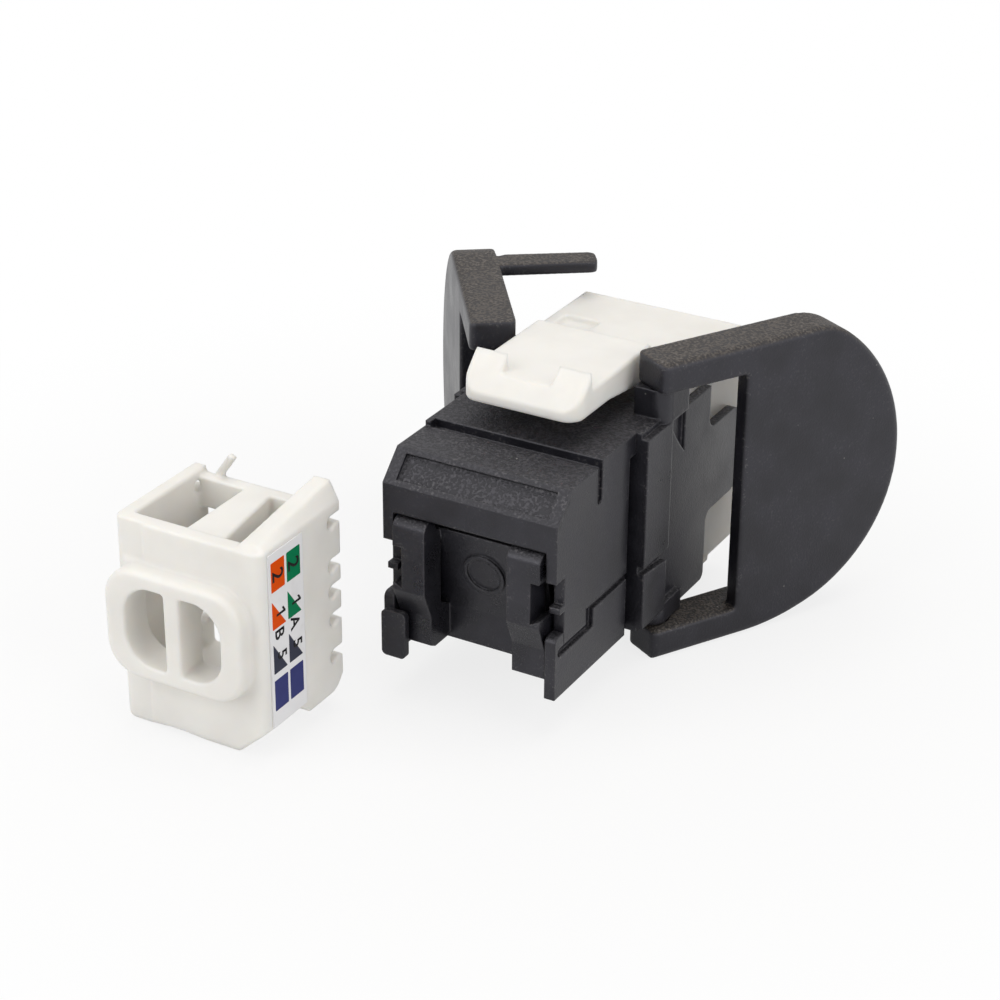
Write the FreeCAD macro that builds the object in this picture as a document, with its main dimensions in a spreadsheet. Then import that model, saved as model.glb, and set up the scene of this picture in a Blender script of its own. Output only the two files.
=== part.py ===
"""Keystone jack with a port shutter and two squeeze levers, its wire manager standing beside it.

Frame: +Z up, +X to the right of someone facing the port, +Y towards the cable end.
The origin is on the underside of the front housing, in the middle of its front face.
"""
import FreeCAD, Part
import math
import os
import re

import Sketcher

# Driving dimensions in millimetres
SIZES = {
    # Front housing
    "body_width": 14.5,
    "side_wall": 0.85,
    "front_depth": 12.1,
    "face_top": 14.2,
    "chamfer_size": 2.1,
    "cheek_low": 9.6,
    "header_low": 11.95,
    "header_wall": 0.7,
    "ridge_place": 6.1,
    "ridge_rise": 0.4,
    "groove_width": 0.75,
    "groove_depth": 0.35,
    "groove_inset": 0.45,
    "groove_drop": 2.65,
    "nameplate_width": 12.6,
    "nameplate_margin": 0.3,
    "nameplate_depth": 0.25,
    "split_front": 4.1,
    "split_rear": 5.4,
    "split_step": 4.75,
    "seam_start": 0.4,
    "seam_front": 0.75,
    "seam_rear": 0.55,
    "seam_shift": 1.15,
    "seam_depth": 0.4,
    "wall_setback": 1.3,
    "rib_low": 6.85,
    "rib_height": 0.5,
    "rib_reach": 0.7,
    "waist_length": 0.9,
    "waist_depth": 0.6,
    "waist_margin": 1.35,
    "chamber_top": 14.5,
    "chamber_slope": 1.08,
    "port_top": 9.8,
    "floor_thick": 0.5,
    "floor_front": 5.1,
    "foot_top": 5.1,
    "foot_round": 0.5,
    "flap_width": 2.05,
    "flap_height": 3.85,
    "flap_reach": 0.45,
    "flap_thick": 0.55,
    "flap_round": 0.4,
    # Port shutter
    "axis_depth": 0.8,
    "axis_height": 10.9,
    "shutter_gap": 0.25,
    "bar_width": 2.7,
    "bar_reach": 0.5,
    "bar_round": 0.8,
    "bar_back": 1.85,
    "bar_shoulder": 10.4,
    "bar_break": 5.9,
    "bar_slant": 2.2,
    "bar_setback": 0.95,
    "bar_low": 1.0,
    "bar_chamfer": 0.3,
    "heel_depth": 3.5,
    "heel_height": 3.4,
    "heel_rise": 1.0,
    "plate_front": 1.7,
    "plate_foot": 3.15,
    "plate_bend": 3.7,
    "plate_thick": 0.8,
    "plate_top": 10.7,
    "plate_low": 0.8,
    "shutter_pin": 0.4,
    "pin_reach": 0.5,
    "notch_low": 6.1,
    "notch_high": 9.5,
    "notch_width": 0.75,
    "ring_radius": 1.75,
    "ring_width": 0.35,
    "ring_height": 7.4,
    "ring_raise": 0.2,
    # Spring contacts and their carrier
    "contact_pitch": 1.02,
    "contact_width": 0.45,
    "contact_gauge": 0.35,
    "contact_level": 1.2,
    "contact_length": 5.0,
    "tip_inset": 1.1,
    "contact_rise": 4.85,
    "carrier_thick": 2.2,
    "carrier_inset": 0.4,
    "fit_gap": 0.05,
    # Board and cutting terminals
    "board_thick": 1.0,
    "terminal_inset": 2.4,
    "terminal_gauge": 0.4,
    "terminal_height": 1.7,
    "terminal_pitch": 2.9,
    "terminal_middle": 8.7,
    "terminal_reach": 4.5,
    "fork_depth": 3.2,
    "fork_slot": 0.4,
    # Rear housing
    "rear_step": 0.5,
    "rear_length": 7.4,
    "rear_wall": 0.75,
    "rear_floor": 0.8,
    "bulkhead": 0.9,
    "block_raise": 0.55,
    "block_depth": 4.1,
    "block_low": 5.6,
    "block_drop": 0.45,
    "lower_block_depth": 3.8,
    "lower_block_top": 5.05,
    "lower_block_slope": 0.45,
    "lower_block_low": 0.3,
    "cheek_length": 4.5,
    "cheek_bottom": -0.85,
    "cheek_top": 16.0,
    "cheek_round": 0.6,
    "lobe_length": 6.3,
    "lobe_low": 5.0,
    "lobe_high": 12.3,
    "lobe_fillet": 0.9,
    "lobe_round": 2.0,
    "panel_depth": 0.3,
    "panel_curve": 19.5,
    "boss_place": 2.8,
    "boss_length": 3.9,
    "boss_width": 2.7,
    "boss_round": 1.2,
    # Levers
    "pivot_inset": 0.35,
    "pivot_place": 4.7,
    "pivot_radius": 0.8,
    "pivot_length": 1.6,
    "running_play": 0.05,
    "arm_gap": 0.1,
    "lever_low": -3.4,
    "lever_high": 21.5,
    "arm_height": 2.4,
    "arm_front": 1.9,
    "arm_end": 8.1,
    "lever_outer": 2.2,
    "lever_inner": 1.4,
    "lever_plate": 1.4,
    "lever_reach": 21.2,
    "top_blend": 5.5,
    "bottom_blend": 18.5,
    "bottom_curve": 12.3,
    "window_end": 5.85,
    "lever_edge_round": 0.5,
    "tongue_start": 9.7,
    "tongue_root": 2.4,
    "tongue_tip": 2.3,
    "tongue_thick": 1.0,
    "tongue_length": 8.0,
    "tongue_round": 0.6,
    "tongue_web": 0.6,
    "arm_end_round": 0.5,
    # White rear frame and panel latch
    "frame_wall": 0.55,
    "frame_length": 11.5,
    "frame_low": -0.3,
    "frame_floor": 0.5,
    "bay_height": 17.2,
    "frame_roof": 1.0,
    "latch_width": 9.8,
    "latch_length": 12.5,
    "latch_low": 18.7,
    "latch_nose": 0.8,
    "latch_top": 20.7,
    "latch_heel": 17.9,
    "catch_height": 1.3,
    "catch_inner": 2.1,
    "latch_inset": 0.5,
    "latch_round": 1.4,
    "lip_place": 5.1,
    "lip_length": 3.3,
    "lip_drop": 1.15,
    "lip_end_drop": 0.6,
    "seat_place": 3.0,
    "seat_length": 3.2,
    "seat_inset": 1.0,
    "seat_width": 3.0,
    "seat_depth": 0.5,
    # Wire manager
    "manager_play": 0.05,
    "bay_play": 0.2,
    "manager_depth": 10.2,
    "manager_wall": 1.1,
    "manager_round": 0.9,
    "manager_front": 1.3,
    "manager_floor": 2.0,
    "manager_apart": 1.7,
    "manager_place": -13.3,
    "collar_width": 12.0,
    "collar_height": 8.8,
    "collar_middle": 9.4,
    "collar_shift": -0.5,
    "collar_length": 1.5,
    "collar_corner": 2.6,
    "collar_round": 0.45,
    "cable_width": 8.4,
    "cable_height": 6.4,
    "cable_corner": 2.4,
    "divider_width": 1.35,
    "comb_depth": 1.9,
    "comb_slot": 0.8,
    "comb_hook": 0.25,
    "comb_bottom": 4.7,
    "comb_low": 7.8,
    "comb_middle": 10.1,
    "comb_high": 12.3,
    "comb_top": 15.8,
    "spine_left": -1.3,
    "spine_front": 3.5,
    "spine_back": 2.2,
    "spine_height": 3.0,
    "spine_drop": 0.5,
    "bar_thick": 1.1,
    "shoulder_width": 1.1,
    "shoulder_slope": 0.8,
    "shoulder_front": 0.3,
    "shoulder_rise": 1.6,
    "finger_place": 2.1,
    "finger_size": 0.55,
    "finger_lean": 1.3,
    "finger_rise": 1.6,
    "arch_left": -4.5,
    "arch_right": 1.1,
    "arch_radius": 9.0,
    "keel_right": 3.5,
    "keel_rise": 2.6,
    "heel_start": 4.4,
    "heel_slope": 1.3,
    "heel_drop": 1.1,
    "heel_round": 1.7,
    "step_width": 2.6,
    "step_depth": 0.2,
    "label_width": 4.3,
    "label_height": 14.0,
    "label_margin": 0.8,
    "label_low": 2.7,
    "label_thick": 0.1,
}

# Driving angles in degrees: how far each lever stands open, and the turn of its two blends
ANGLES = {
    "right_open": 29.4,
    "left_open": 36.0,
    "top_sweep": 36.2,
    "bottom_sweep": 20.7,
}

# Heights of the comb's notches above the manager's underside
COMB_LEVELS = ("comb_bottom", "comb_low", "comb_middle", "comb_high", "comb_top")

# Values worked out from the driving dimensions
DERIVED = {
    "half": "(body_width / 2)",
    "port_half": "(body_width / 2 - side_wall)",
    "roof": "(face_top + chamfer_size)",
    "ridge": "(face_top + chamfer_size + ridge_rise)",
    "waist_start": "(front_depth - waist_length)",
    "bar_outer": "(port_half - shutter_gap)",
    "bar_inner": "(bar_outer - bar_width)",
    "plate_lean": "atan((plate_foot - plate_front) / (plate_top - plate_bend))",
    "contact_bend": "(front_depth - contact_length)",
    "contact_tip": "(front_depth - tip_inset)",
    "carrier_front": "(front_depth - carrier_inset)",
    "board_front": "(carrier_front + carrier_thick)",
    "board_back": "(carrier_front + carrier_thick + board_thick)",
    "rear_half": "(half + rear_step)",
    "rear_end": "(front_depth + rear_length)",
    "cheek_end": "(rear_end + cheek_length)",
    "lobe_end": "(cheek_end + lobe_length)",
    "boss_front": "(front_depth + boss_place)",
    "rear_inner": "(rear_half - rear_wall)",
    "block_half": "(rear_half + block_raise)",
    "terminal_place": "(rear_inner - terminal_inset)",
    "pivot_across": "(rear_half - pivot_inset)",
    "pivot_depth": "(front_depth + pivot_place)",
    "boss_top": "(lever_high - arm_height - arm_gap)",
    "boss_bottom": "(lever_low + arm_height + arm_gap)",
    "bottom_rise": "(bottom_blend * (1 - cos(bottom_sweep)))",
    "bottom_straight": "(lever_reach - bottom_curve - (bottom_blend - bottom_curve) * sin(bottom_sweep))",
    "belly_height": "(lever_low + bottom_rise + bottom_curve * cos(bottom_sweep))",
    "top_fall": "(top_blend * (1 - cos(top_sweep)))",
    "top_curve": "((lever_high - top_fall - belly_height) / cos(top_sweep))",
    "top_straight": "(lever_reach - top_curve + (top_curve - top_blend) * sin(top_sweep))",
    "frame_inner": "(rear_inner - frame_wall)",
    "bay_low": "(frame_low + frame_floor)",
    "bay_top": "(frame_low + frame_floor + bay_height)",
    "frame_top": "(frame_low + frame_floor + bay_height + frame_roof)",
    "frame_end": "(rear_end + frame_length)",
    "latch_half": "(latch_width / 2)",
    "latch_tip": "(rear_end - latch_length)",
    "latch_back": "(rear_end - latch_inset)",
    "lip_start": "(rear_end + lip_place)",
    "lip_break": "(lip_start + lip_length)",
    "manager_half": "(frame_inner - manager_play)",
    "manager_inner": "(manager_half - manager_wall)",
    "manager_height": "(bay_height - bay_play)",
    "manager_across": "(-half - manager_apart - manager_half)",
}

# Distance within which two places count as the same
SAME_PLACE = 0.01

DOC = FreeCAD.newDocument("keystone_jack")
SHEET = DOC.addObject("Spreadsheet::Sheet", "sizes")
NAME = re.compile(r"\b[a-z][a-z_]+\b")


def fill_sheet():
    """Write each driving dimension and angle to a cell whose alias is its name."""
    for row, (alias, size) in enumerate([*SIZES.items(), *ANGLES.items()], start=1):
        SHEET.set("A%d" % row, alias)
        SHEET.set("B%d" % row, str(size))
        SHEET.setAlias("B%d" % row, alias)
    DOC.recompute()


def formula(text):
    """Turn a formula in plain names into one that reads the sheet's cells."""

    def cell(match):
        word = match.group(0)
        if word in DERIVED:
            return formula(DERIVED[word])
        return "sizes." + word if word in SIZES or word in ANGLES else word

    return NAME.sub(cell, text)


def value(text):
    """Work a formula out as a number."""
    return float(SHEET.evalExpression(formula(text)))


def new_body(label, place=("0", "0", "0"), turn="0"):
    """Start a sub-part whose place and turn about +Z are bound to the sheet."""
    body = DOC.addObject("PartDesign::Body", label)
    body.Label = label
    for axis, text in zip("xyz", place):
        body.setExpression("Placement.Base." + axis, formula(text))
    body.Placement.Rotation = FreeCAD.Rotation(FreeCAD.Vector(0, 0, 1), value(turn))
    body.setExpression("Placement.Rotation.Angle", formula(turn))
    return body


def origin_plane(body, role):
    """Find one of a body's own origin planes."""
    return next(item for item in body.Origin.OriginFeatures if item.Role == role)


def fix_point(sketch, geometry, position, across, up):
    """Hold a point of a sketch at formulas measured from the sketch's origin."""
    for kind, text in (("DistanceX", across), ("DistanceY", up)):
        rule = Sketcher.Constraint(kind, -1, 1, geometry, position, value(text))
        index = sketch.addConstraint(rule)
        sketch.setExpression("Constraints[%d]" % index, formula(text))


def fix_radius(sketch, geometry, text):
    """Hold the radius of an arc or a circle at a formula."""
    index = sketch.addConstraint(Sketcher.Constraint("Radius", geometry, value(text)))
    sketch.setExpression("Constraints[%d]" % index, formula(text))


def fix_bend(sketch, geometry, first, last):
    """Hold a round edge by its radius, or a half circle by its middle, which halves its chord."""
    across = abs(value(last[0]) - value(first[0]))
    up = abs(value(last[1]) - value(first[1]))
    radius = last[2].lstrip("-")
    if 2 * value(radius) > math.hypot(across, up) + 1e-6:
        fix_radius(sketch, geometry, radius)
        return
    kind, item = ("DistanceY", 1) if across > up else ("DistanceX", 0)
    text = "((%s) + (%s)) / 2" % (first[item], last[item])
    index = sketch.addConstraint(Sketcher.Constraint(kind, -1, 1, geometry, 3, value(text)))
    sketch.setExpression("Constraints[%d]" % index, formula(text))


def arc_between(start, end, radius, anticlockwise):
    """Make the shorter arc of a given radius from one point to another."""
    chord = end - start
    reach = max(radius * radius - chord.Length * chord.Length / 4, 0.0) ** 0.5
    side = FreeCAD.Vector(-chord.y, chord.x, 0).normalize()
    away = reach if anticlockwise else -reach
    centre = (start + end) * 0.5 + side * away
    bulge = centre - side * (radius if anticlockwise else -radius)
    return Part.Arc(start, bulge, end)


def draw_outline(sketch, corners):
    """Draw a closed outline; a corner's third item is the radius of a round edge that leads to it.

    A radius with a minus sign bends clockwise, one without bends anticlockwise.
    """
    points = [FreeCAD.Vector(value(corner[0]), value(corner[1]), 0) for corner in corners]
    edges = []
    for index, corner in enumerate(corners):
        start = points[index - 1]
        end = points[index]
        if len(corner) == 2:
            number = sketch.addGeometry(Part.LineSegment(start, end), False)
            edges.append((number, 1, 2))
            continue
        anticlockwise = not corner[2].startswith("-")
        arc = arc_between(start, end, value(corner[2].lstrip("-")), anticlockwise)
        number = sketch.addGeometry(arc, False)
        edges.append((number, 1, 2) if anticlockwise else (number, 2, 1))
    for index, (number, first, last) in enumerate(edges):
        following = edges[(index + 1) % len(edges)]
        sketch.addConstraint(Sketcher.Constraint("Coincident", number, last, following[0], following[1]))
        fix_point(sketch, number, last, corners[index][0], corners[index][1])
        if len(corners[index]) == 3:
            fix_bend(sketch, number, corners[index - 1], corners[index])


def draw_circle(sketch, across, up, radius):
    """Draw a circle held by its middle and its radius."""
    middle = FreeCAD.Vector(value(across), value(up), 0)
    circle = Part.Circle(middle, FreeCAD.Vector(0, 0, 1), value(radius))
    number = sketch.addGeometry(circle, False)
    fix_point(sketch, number, 3, across, up)
    fix_radius(sketch, number, radius)


def new_sketch(body, name, plane, level, outlines):
    """Attach a sketch to one of the body's planes, moved to a level along the plane's axis."""
    sketch = body.newObject("Sketcher::SketchObject", name)
    sketch.AttachmentSupport = [(origin_plane(body, plane), "")]
    sketch.MapMode = "FlatFace"
    offset = "-(" + level + ")" if plane == "XZ_Plane" else level
    sketch.setExpression("AttachmentOffset.Base.z", formula(offset))
    for shape in outlines:
        if shape[0] == "circle":
            draw_circle(sketch, *shape[1:])
        else:
            draw_outline(sketch, shape)
    return sketch


def add(body, name, plane, start, end, *outlines):
    """Pad outlines from one level to another along the plane's axis."""
    sketch = new_sketch(body, name + "_sketch", plane, start, outlines)
    pad = body.newObject("PartDesign::Pad", name)
    pad.Profile = sketch
    pad.setExpression("Length", formula("(" + end + ") - (" + start + ")"))
    pad.Reversed = plane == "XZ_Plane"
    return pad


def cut(body, name, plane, start, end, *outlines):
    """Cut outlines from one level to another along the plane's axis."""
    sketch = new_sketch(body, name + "_sketch", plane, start, outlines)
    pocket = body.newObject("PartDesign::Pocket", name)
    pocket.Profile = sketch
    pocket.setExpression("Length", formula("(" + end + ") - (" + start + ")"))
    pocket.Reversed = plane != "XZ_Plane"
    return pocket


def mirror(body, name, *features):
    """Repeat features on the other side of the middle plane."""
    mirrored = body.newObject("PartDesign::Mirrored", name)
    mirrored.Originals = list(features)
    mirrored.MirrorPlane = (origin_plane(body, "YZ_Plane"), [""])
    body.Tip = mirrored
    return mirrored


def rectangle(left, low, right, high):
    """Give the corners of an upright rectangle."""
    return [(left, low), (right, low), (right, high), (left, high)]


def rounded_rectangle(middle, level, width, height, corner):
    """Give the corners of a rectangle with rounded corners, about its middle."""
    left = "%s - %s / 2" % (middle, width)
    right = "%s + %s / 2" % (middle, width)
    low = "%s - %s / 2" % (level, height)
    high = "%s + %s / 2" % (level, height)
    return [
        ("%s + %s" % (left, corner), low),
        ("%s - %s" % (right, corner), low),
        (right, "%s + %s" % (low, corner), corner),
        (right, "%s - %s" % (high, corner)),
        ("%s - %s" % (right, corner), high, corner),
        ("%s + %s" % (left, corner), high),
        (left, "%s - %s" % (high, corner), corner),
        (left, "%s + %s" % (low, corner)),
        ("%s + %s" % (left, corner), low, corner),
    ][1:]


def round_edges(body, name, radius, wanted):
    """Fillet the edges of the body's last feature that a test picks out."""
    DOC.recompute()
    base = body.Tip
    picked = ["Edge%d" % number for number, edge in enumerate(base.Shape.Edges, start=1) if wanted(edge)]
    fillet = body.newObject("PartDesign::Fillet", name)
    fillet.Base = (base, picked)
    fillet.setExpression("Radius", formula(radius))
    return fillet


def upper_housing():
    """Header, roof and side walls of the port, down to the seam with the lower housing."""
    body = new_body("upper_housing")
    add(body, "upper_block", "YZ_Plane", "-half", "half", [
        ("0", "cheek_low"),
        ("wall_setback", "cheek_low"),
        ("wall_setback", "split_front"),
        ("split_step", "split_front"),
        ("split_step", "split_rear"),
        ("front_depth", "split_rear"),
        ("front_depth", "ridge"),
        ("ridge_place", "ridge"),
        ("ridge_place", "roof"),
        ("chamfer_size", "roof"),
        ("0", "face_top"),
    ])
    cut(body, "port_chamber", "YZ_Plane", "-port_half", "port_half", [
        ("-header_wall", "0"),
        ("front_depth + header_wall", "0"),
        ("front_depth + header_wall", "chamber_top"),
        ("header_wall + chamber_slope", "chamber_top"),
        ("header_wall", "chamber_top - chamber_slope"),
        ("header_wall", "header_low"),
        ("-header_wall", "header_low"),
    ])
    cut(body, "pin_seats", "YZ_Plane", "-port_half - pin_reach", "port_half + pin_reach",
        ("circle", "axis_depth", "axis_height", "shutter_pin + running_play"))
    cut(body, "nameplate", "YZ_Plane", "-nameplate_width / 2", "nameplate_width / 2", [
        ("nameplate_margin", "face_top + nameplate_margin"),
        ("nameplate_margin + nameplate_depth", "face_top + nameplate_margin - nameplate_depth"),
        ("chamfer_size - nameplate_margin + nameplate_depth", "roof - nameplate_margin - nameplate_depth"),
        ("chamfer_size - nameplate_margin", "roof - nameplate_margin"),
    ])
    cut(body, "roof_groove", "YZ_Plane", "groove_inset - half", "half",
        rectangle("ridge_place", "roof - groove_depth", "ridge_place + groove_width", "ridge"))
    cut(body, "side_groove", "YZ_Plane", "half - groove_depth", "half", [
        ("ridge_place", "ridge"),
        ("ridge_place", "roof - groove_drop"),
        ("ridge_place + groove_width", "roof - groove_drop", "groove_width / 2"),
        ("ridge_place + groove_width", "ridge"),
    ])
    rib = add(body, "wall_rib", "YZ_Plane", "port_half", "half",
              rectangle("wall_setback - rib_reach", "rib_low", "wall_setback", "rib_low + rib_height"))
    waist = cut(body, "waist", "YZ_Plane", "half - waist_depth", "half",
                rectangle("waist_start", "split_front", "front_depth", "roof - waist_margin"))
    mirror(body, "left_wall", rib, waist)
    return body


def lower_housing():
    """Skirt, floor and front feet under the port, with the seam's groove along each side."""
    body = new_body("lower_housing")
    add(body, "port_floor", "XY_Plane", "0", "floor_thick",
        rectangle("-port_half", "floor_front", "port_half", "front_depth"))
    skirt = add(body, "skirt", "YZ_Plane", "port_half", "half", [
        ("0", "0"),
        ("front_depth", "0"),
        ("front_depth", "split_rear"),
        ("split_step", "split_rear"),
        ("split_step", "split_front"),
        ("wall_setback - fit_gap", "split_front"),
        ("wall_setback - fit_gap", "foot_top"),
        ("foot_round", "foot_top"),
        ("0", "foot_top - foot_round", "foot_round"),
    ])
    seam = cut(body, "seam_groove", "YZ_Plane", "half - seam_depth", "half", [
        ("split_step + seam_shift", "split_front - seam_front"),
        ("split_step + seam_shift", "split_rear - seam_rear"),
        ("front_depth", "split_rear - seam_rear"),
        ("front_depth", "split_rear"),
        ("split_step", "split_rear"),
        ("split_step", "split_front"),
        ("seam_start + seam_front / 2", "split_front"),
        ("seam_start + seam_front / 2", "split_front - seam_front", "seam_front / 2"),
    ])
    waist = cut(body, "lower_waist", "YZ_Plane", "half - waist_depth", "half",
                rectangle("waist_start", "0", "front_depth", "split_rear"))
    mirror(body, "left_skirt", skirt, seam, waist)
    add(body, "flap", "XZ_Plane", "-flap_reach", "flap_thick - flap_reach",
        rounded_rectangle("flap_width / 2 - half", "flap_height / 2", "flap_width", "flap_height",
                          "flap_round"))
    return body


def port_shutter():
    """Flap that closes the port, hung on two pins and swinging inwards and up."""
    body = new_body("port_shutter")
    add(body, "plate", "YZ_Plane", "-bar_outer", "bar_outer", [
        ("plate_foot", "plate_low"),
        ("plate_foot + plate_thick", "plate_low"),
        ("plate_foot + plate_thick", "plate_bend"),
        ("plate_front + plate_thick", "plate_top"),
        ("plate_front", "plate_top"),
        ("plate_foot", "plate_bend"),
    ])
    bar = add(body, "bar", "YZ_Plane", "bar_inner", "bar_outer", [
        ("-bar_reach", "bar_break"),
        ("bar_setback - bar_reach", "bar_break - bar_slant"),
        ("bar_setback - bar_reach", "bar_low + bar_chamfer"),
        ("bar_setback - bar_reach + 2 * bar_chamfer", "bar_low"),
        ("heel_depth", "bar_low"),
        ("heel_depth", "heel_height"),
        ("bar_back", "heel_height + heel_rise"),
        ("bar_back", "bar_shoulder"),
        ("2 * bar_round - bar_reach", "axis_height"),
        ("-bar_reach", "axis_height", "bar_round"),
    ])
    notch = cut(body, "bar_notch", "XZ_Plane", "-bar_reach", "plate_foot + plate_thick", [
        ("bar_outer - notch_width", "notch_low"),
        ("bar_outer", "notch_low + notch_width / 2"),
        ("bar_outer", "notch_high"),
        ("bar_outer - notch_width", "notch_high"),
    ])
    pin = add(body, "hinge_pin", "YZ_Plane", "bar_outer - bar_width", "port_half + pin_reach - fit_gap",
              ("circle", "axis_depth", "axis_height", "shutter_pin"))
    mirror(body, "left_bar", bar, notch, pin)
    ring_depth = "plate_front + (plate_top - ring_height) * tan(plate_lean)"
    ring = add(body, "ring_mark", "XZ_Plane", ring_depth, ring_depth + " + ring_raise",
               ("circle", "0", "0", "ring_radius"), ("circle", "0", "0", "ring_radius - ring_width"))
    lean_sketch(ring, "ring_height", "plate_lean")
    return body


def lean_sketch(pad, height, lean):
    """Raise an upright pad's sketch and lean its top forward, the pad growing out to the front."""
    sketch = pad.Profile[0]
    sketch.AttachmentOffset.Rotation = FreeCAD.Rotation(FreeCAD.Vector(1, 0, 0), value(lean))
    sketch.setExpression("AttachmentOffset.Base.y", formula(height))
    sketch.setExpression("AttachmentOffset.Rotation.Angle", formula(lean))
    pad.Reversed = False


def contact_places():
    """Give the formula of each spring contact's place across the port."""
    return ["(%g) * contact_pitch" % (number - 3.5) for number in range(8)]


def contact_carrier():
    """Insulator at the back of the port, slotted for the eight spring contacts."""
    body = new_body("contact_carrier")
    add(body, "carrier_block", "YZ_Plane", "fit_gap - port_half", "port_half - fit_gap",
        rectangle("carrier_front", "floor_thick", "board_front", "port_top - fit_gap"))
    slots = []
    for place in contact_places():
        left = "%s - contact_width / 2 - fit_gap" % place
        right = "%s + contact_width / 2 + fit_gap" % place
        high = "contact_level + contact_gauge + fit_gap"
        slots.append(rectangle(left, "contact_level - fit_gap", right, high))
    cut(body, "contact_slots", "XZ_Plane", "carrier_front", "board_front", *slots)
    return body


def spring_contact(number, place):
    """One bent spring contact, from the board forward along the floor and back up to its free end."""
    body = new_body("contact_%d" % number, (place, "0", "0"))
    add(body, "spring", "YZ_Plane", "-contact_width / 2", "contact_width / 2", [
        ("board_front", "contact_level"),
        ("board_front", "contact_level + contact_gauge"),
        ("contact_bend + 2 * contact_gauge", "contact_level + contact_gauge"),
        ("contact_bend + 2 * contact_gauge", "contact_level + 1.5 * contact_gauge"),
        ("contact_tip", "contact_rise - contact_gauge"),
        ("contact_tip", "contact_rise"),
        ("contact_bend", "contact_level + 1.7 * contact_gauge"),
        ("contact_bend", "contact_level + contact_gauge"),
        ("contact_bend + contact_gauge", "contact_level", "contact_gauge"),
    ])
    return body


def circuit_board():
    """Upright board between the spring contacts and the cutting terminals."""
    body = new_body("circuit_board")
    add(body, "board", "XZ_Plane", "board_front", "board_back",
        rectangle("-rear_inner + fit_gap", "rear_floor", "rear_inner - fit_gap", "roof - rear_floor"))
    return body


def terminal_rows():
    """Give the side and the height formula of each cutting terminal."""
    rows = ["terminal_middle + (%g) * terminal_pitch" % (row - 1.5) for row in range(4)]
    return [(side, row) for side in ("-", "") for row in rows]


def terminal_block():
    """Insulator behind the board, slotted for the eight cutting terminals."""
    body = new_body("terminal_block")
    add(body, "terminal_base", "XZ_Plane", "board_back", "rear_end",
        rectangle("-rear_inner + fit_gap", "rear_floor", "rear_inner - fit_gap", "roof - rear_floor"))
    slots = []
    for side, row in terminal_rows():
        middle = side + "terminal_place"
        left = "%s - terminal_gauge / 2 - fit_gap" % middle
        right = "%s + terminal_gauge / 2 + fit_gap" % middle
        low = "%s - terminal_height / 2 - fit_gap" % row
        high = "%s + terminal_height / 2 + fit_gap" % row
        slots.append(rectangle(left, low, right, high))
    cut(body, "terminal_slots", "XZ_Plane", "board_back", "rear_end", *slots)
    return body


def cutting_terminal(number, side, row):
    """One forked blade that bites into a wire when the manager is pressed home."""
    body = new_body("terminal_%d" % number, (side + "terminal_place", "0", row))
    tip = "rear_end + terminal_reach"
    add(body, "blade", "YZ_Plane", "-terminal_gauge / 2", "terminal_gauge / 2", [
        ("board_back", "-terminal_height / 2"),
        (tip, "-terminal_height / 2"),
        (tip, "-fork_slot"),
        (tip + " - fork_slot", "-fork_slot / 2"),
        (tip + " - fork_depth", "-fork_slot / 2"),
        (tip + " - fork_depth", "fork_slot / 2", "-fork_slot / 2"),
        (tip + " - fork_slot", "fork_slot / 2"),
        (tip, "fork_slot"),
        (tip, "terminal_height / 2"),
        ("board_back", "terminal_height / 2"),
    ])
    return body


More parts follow.
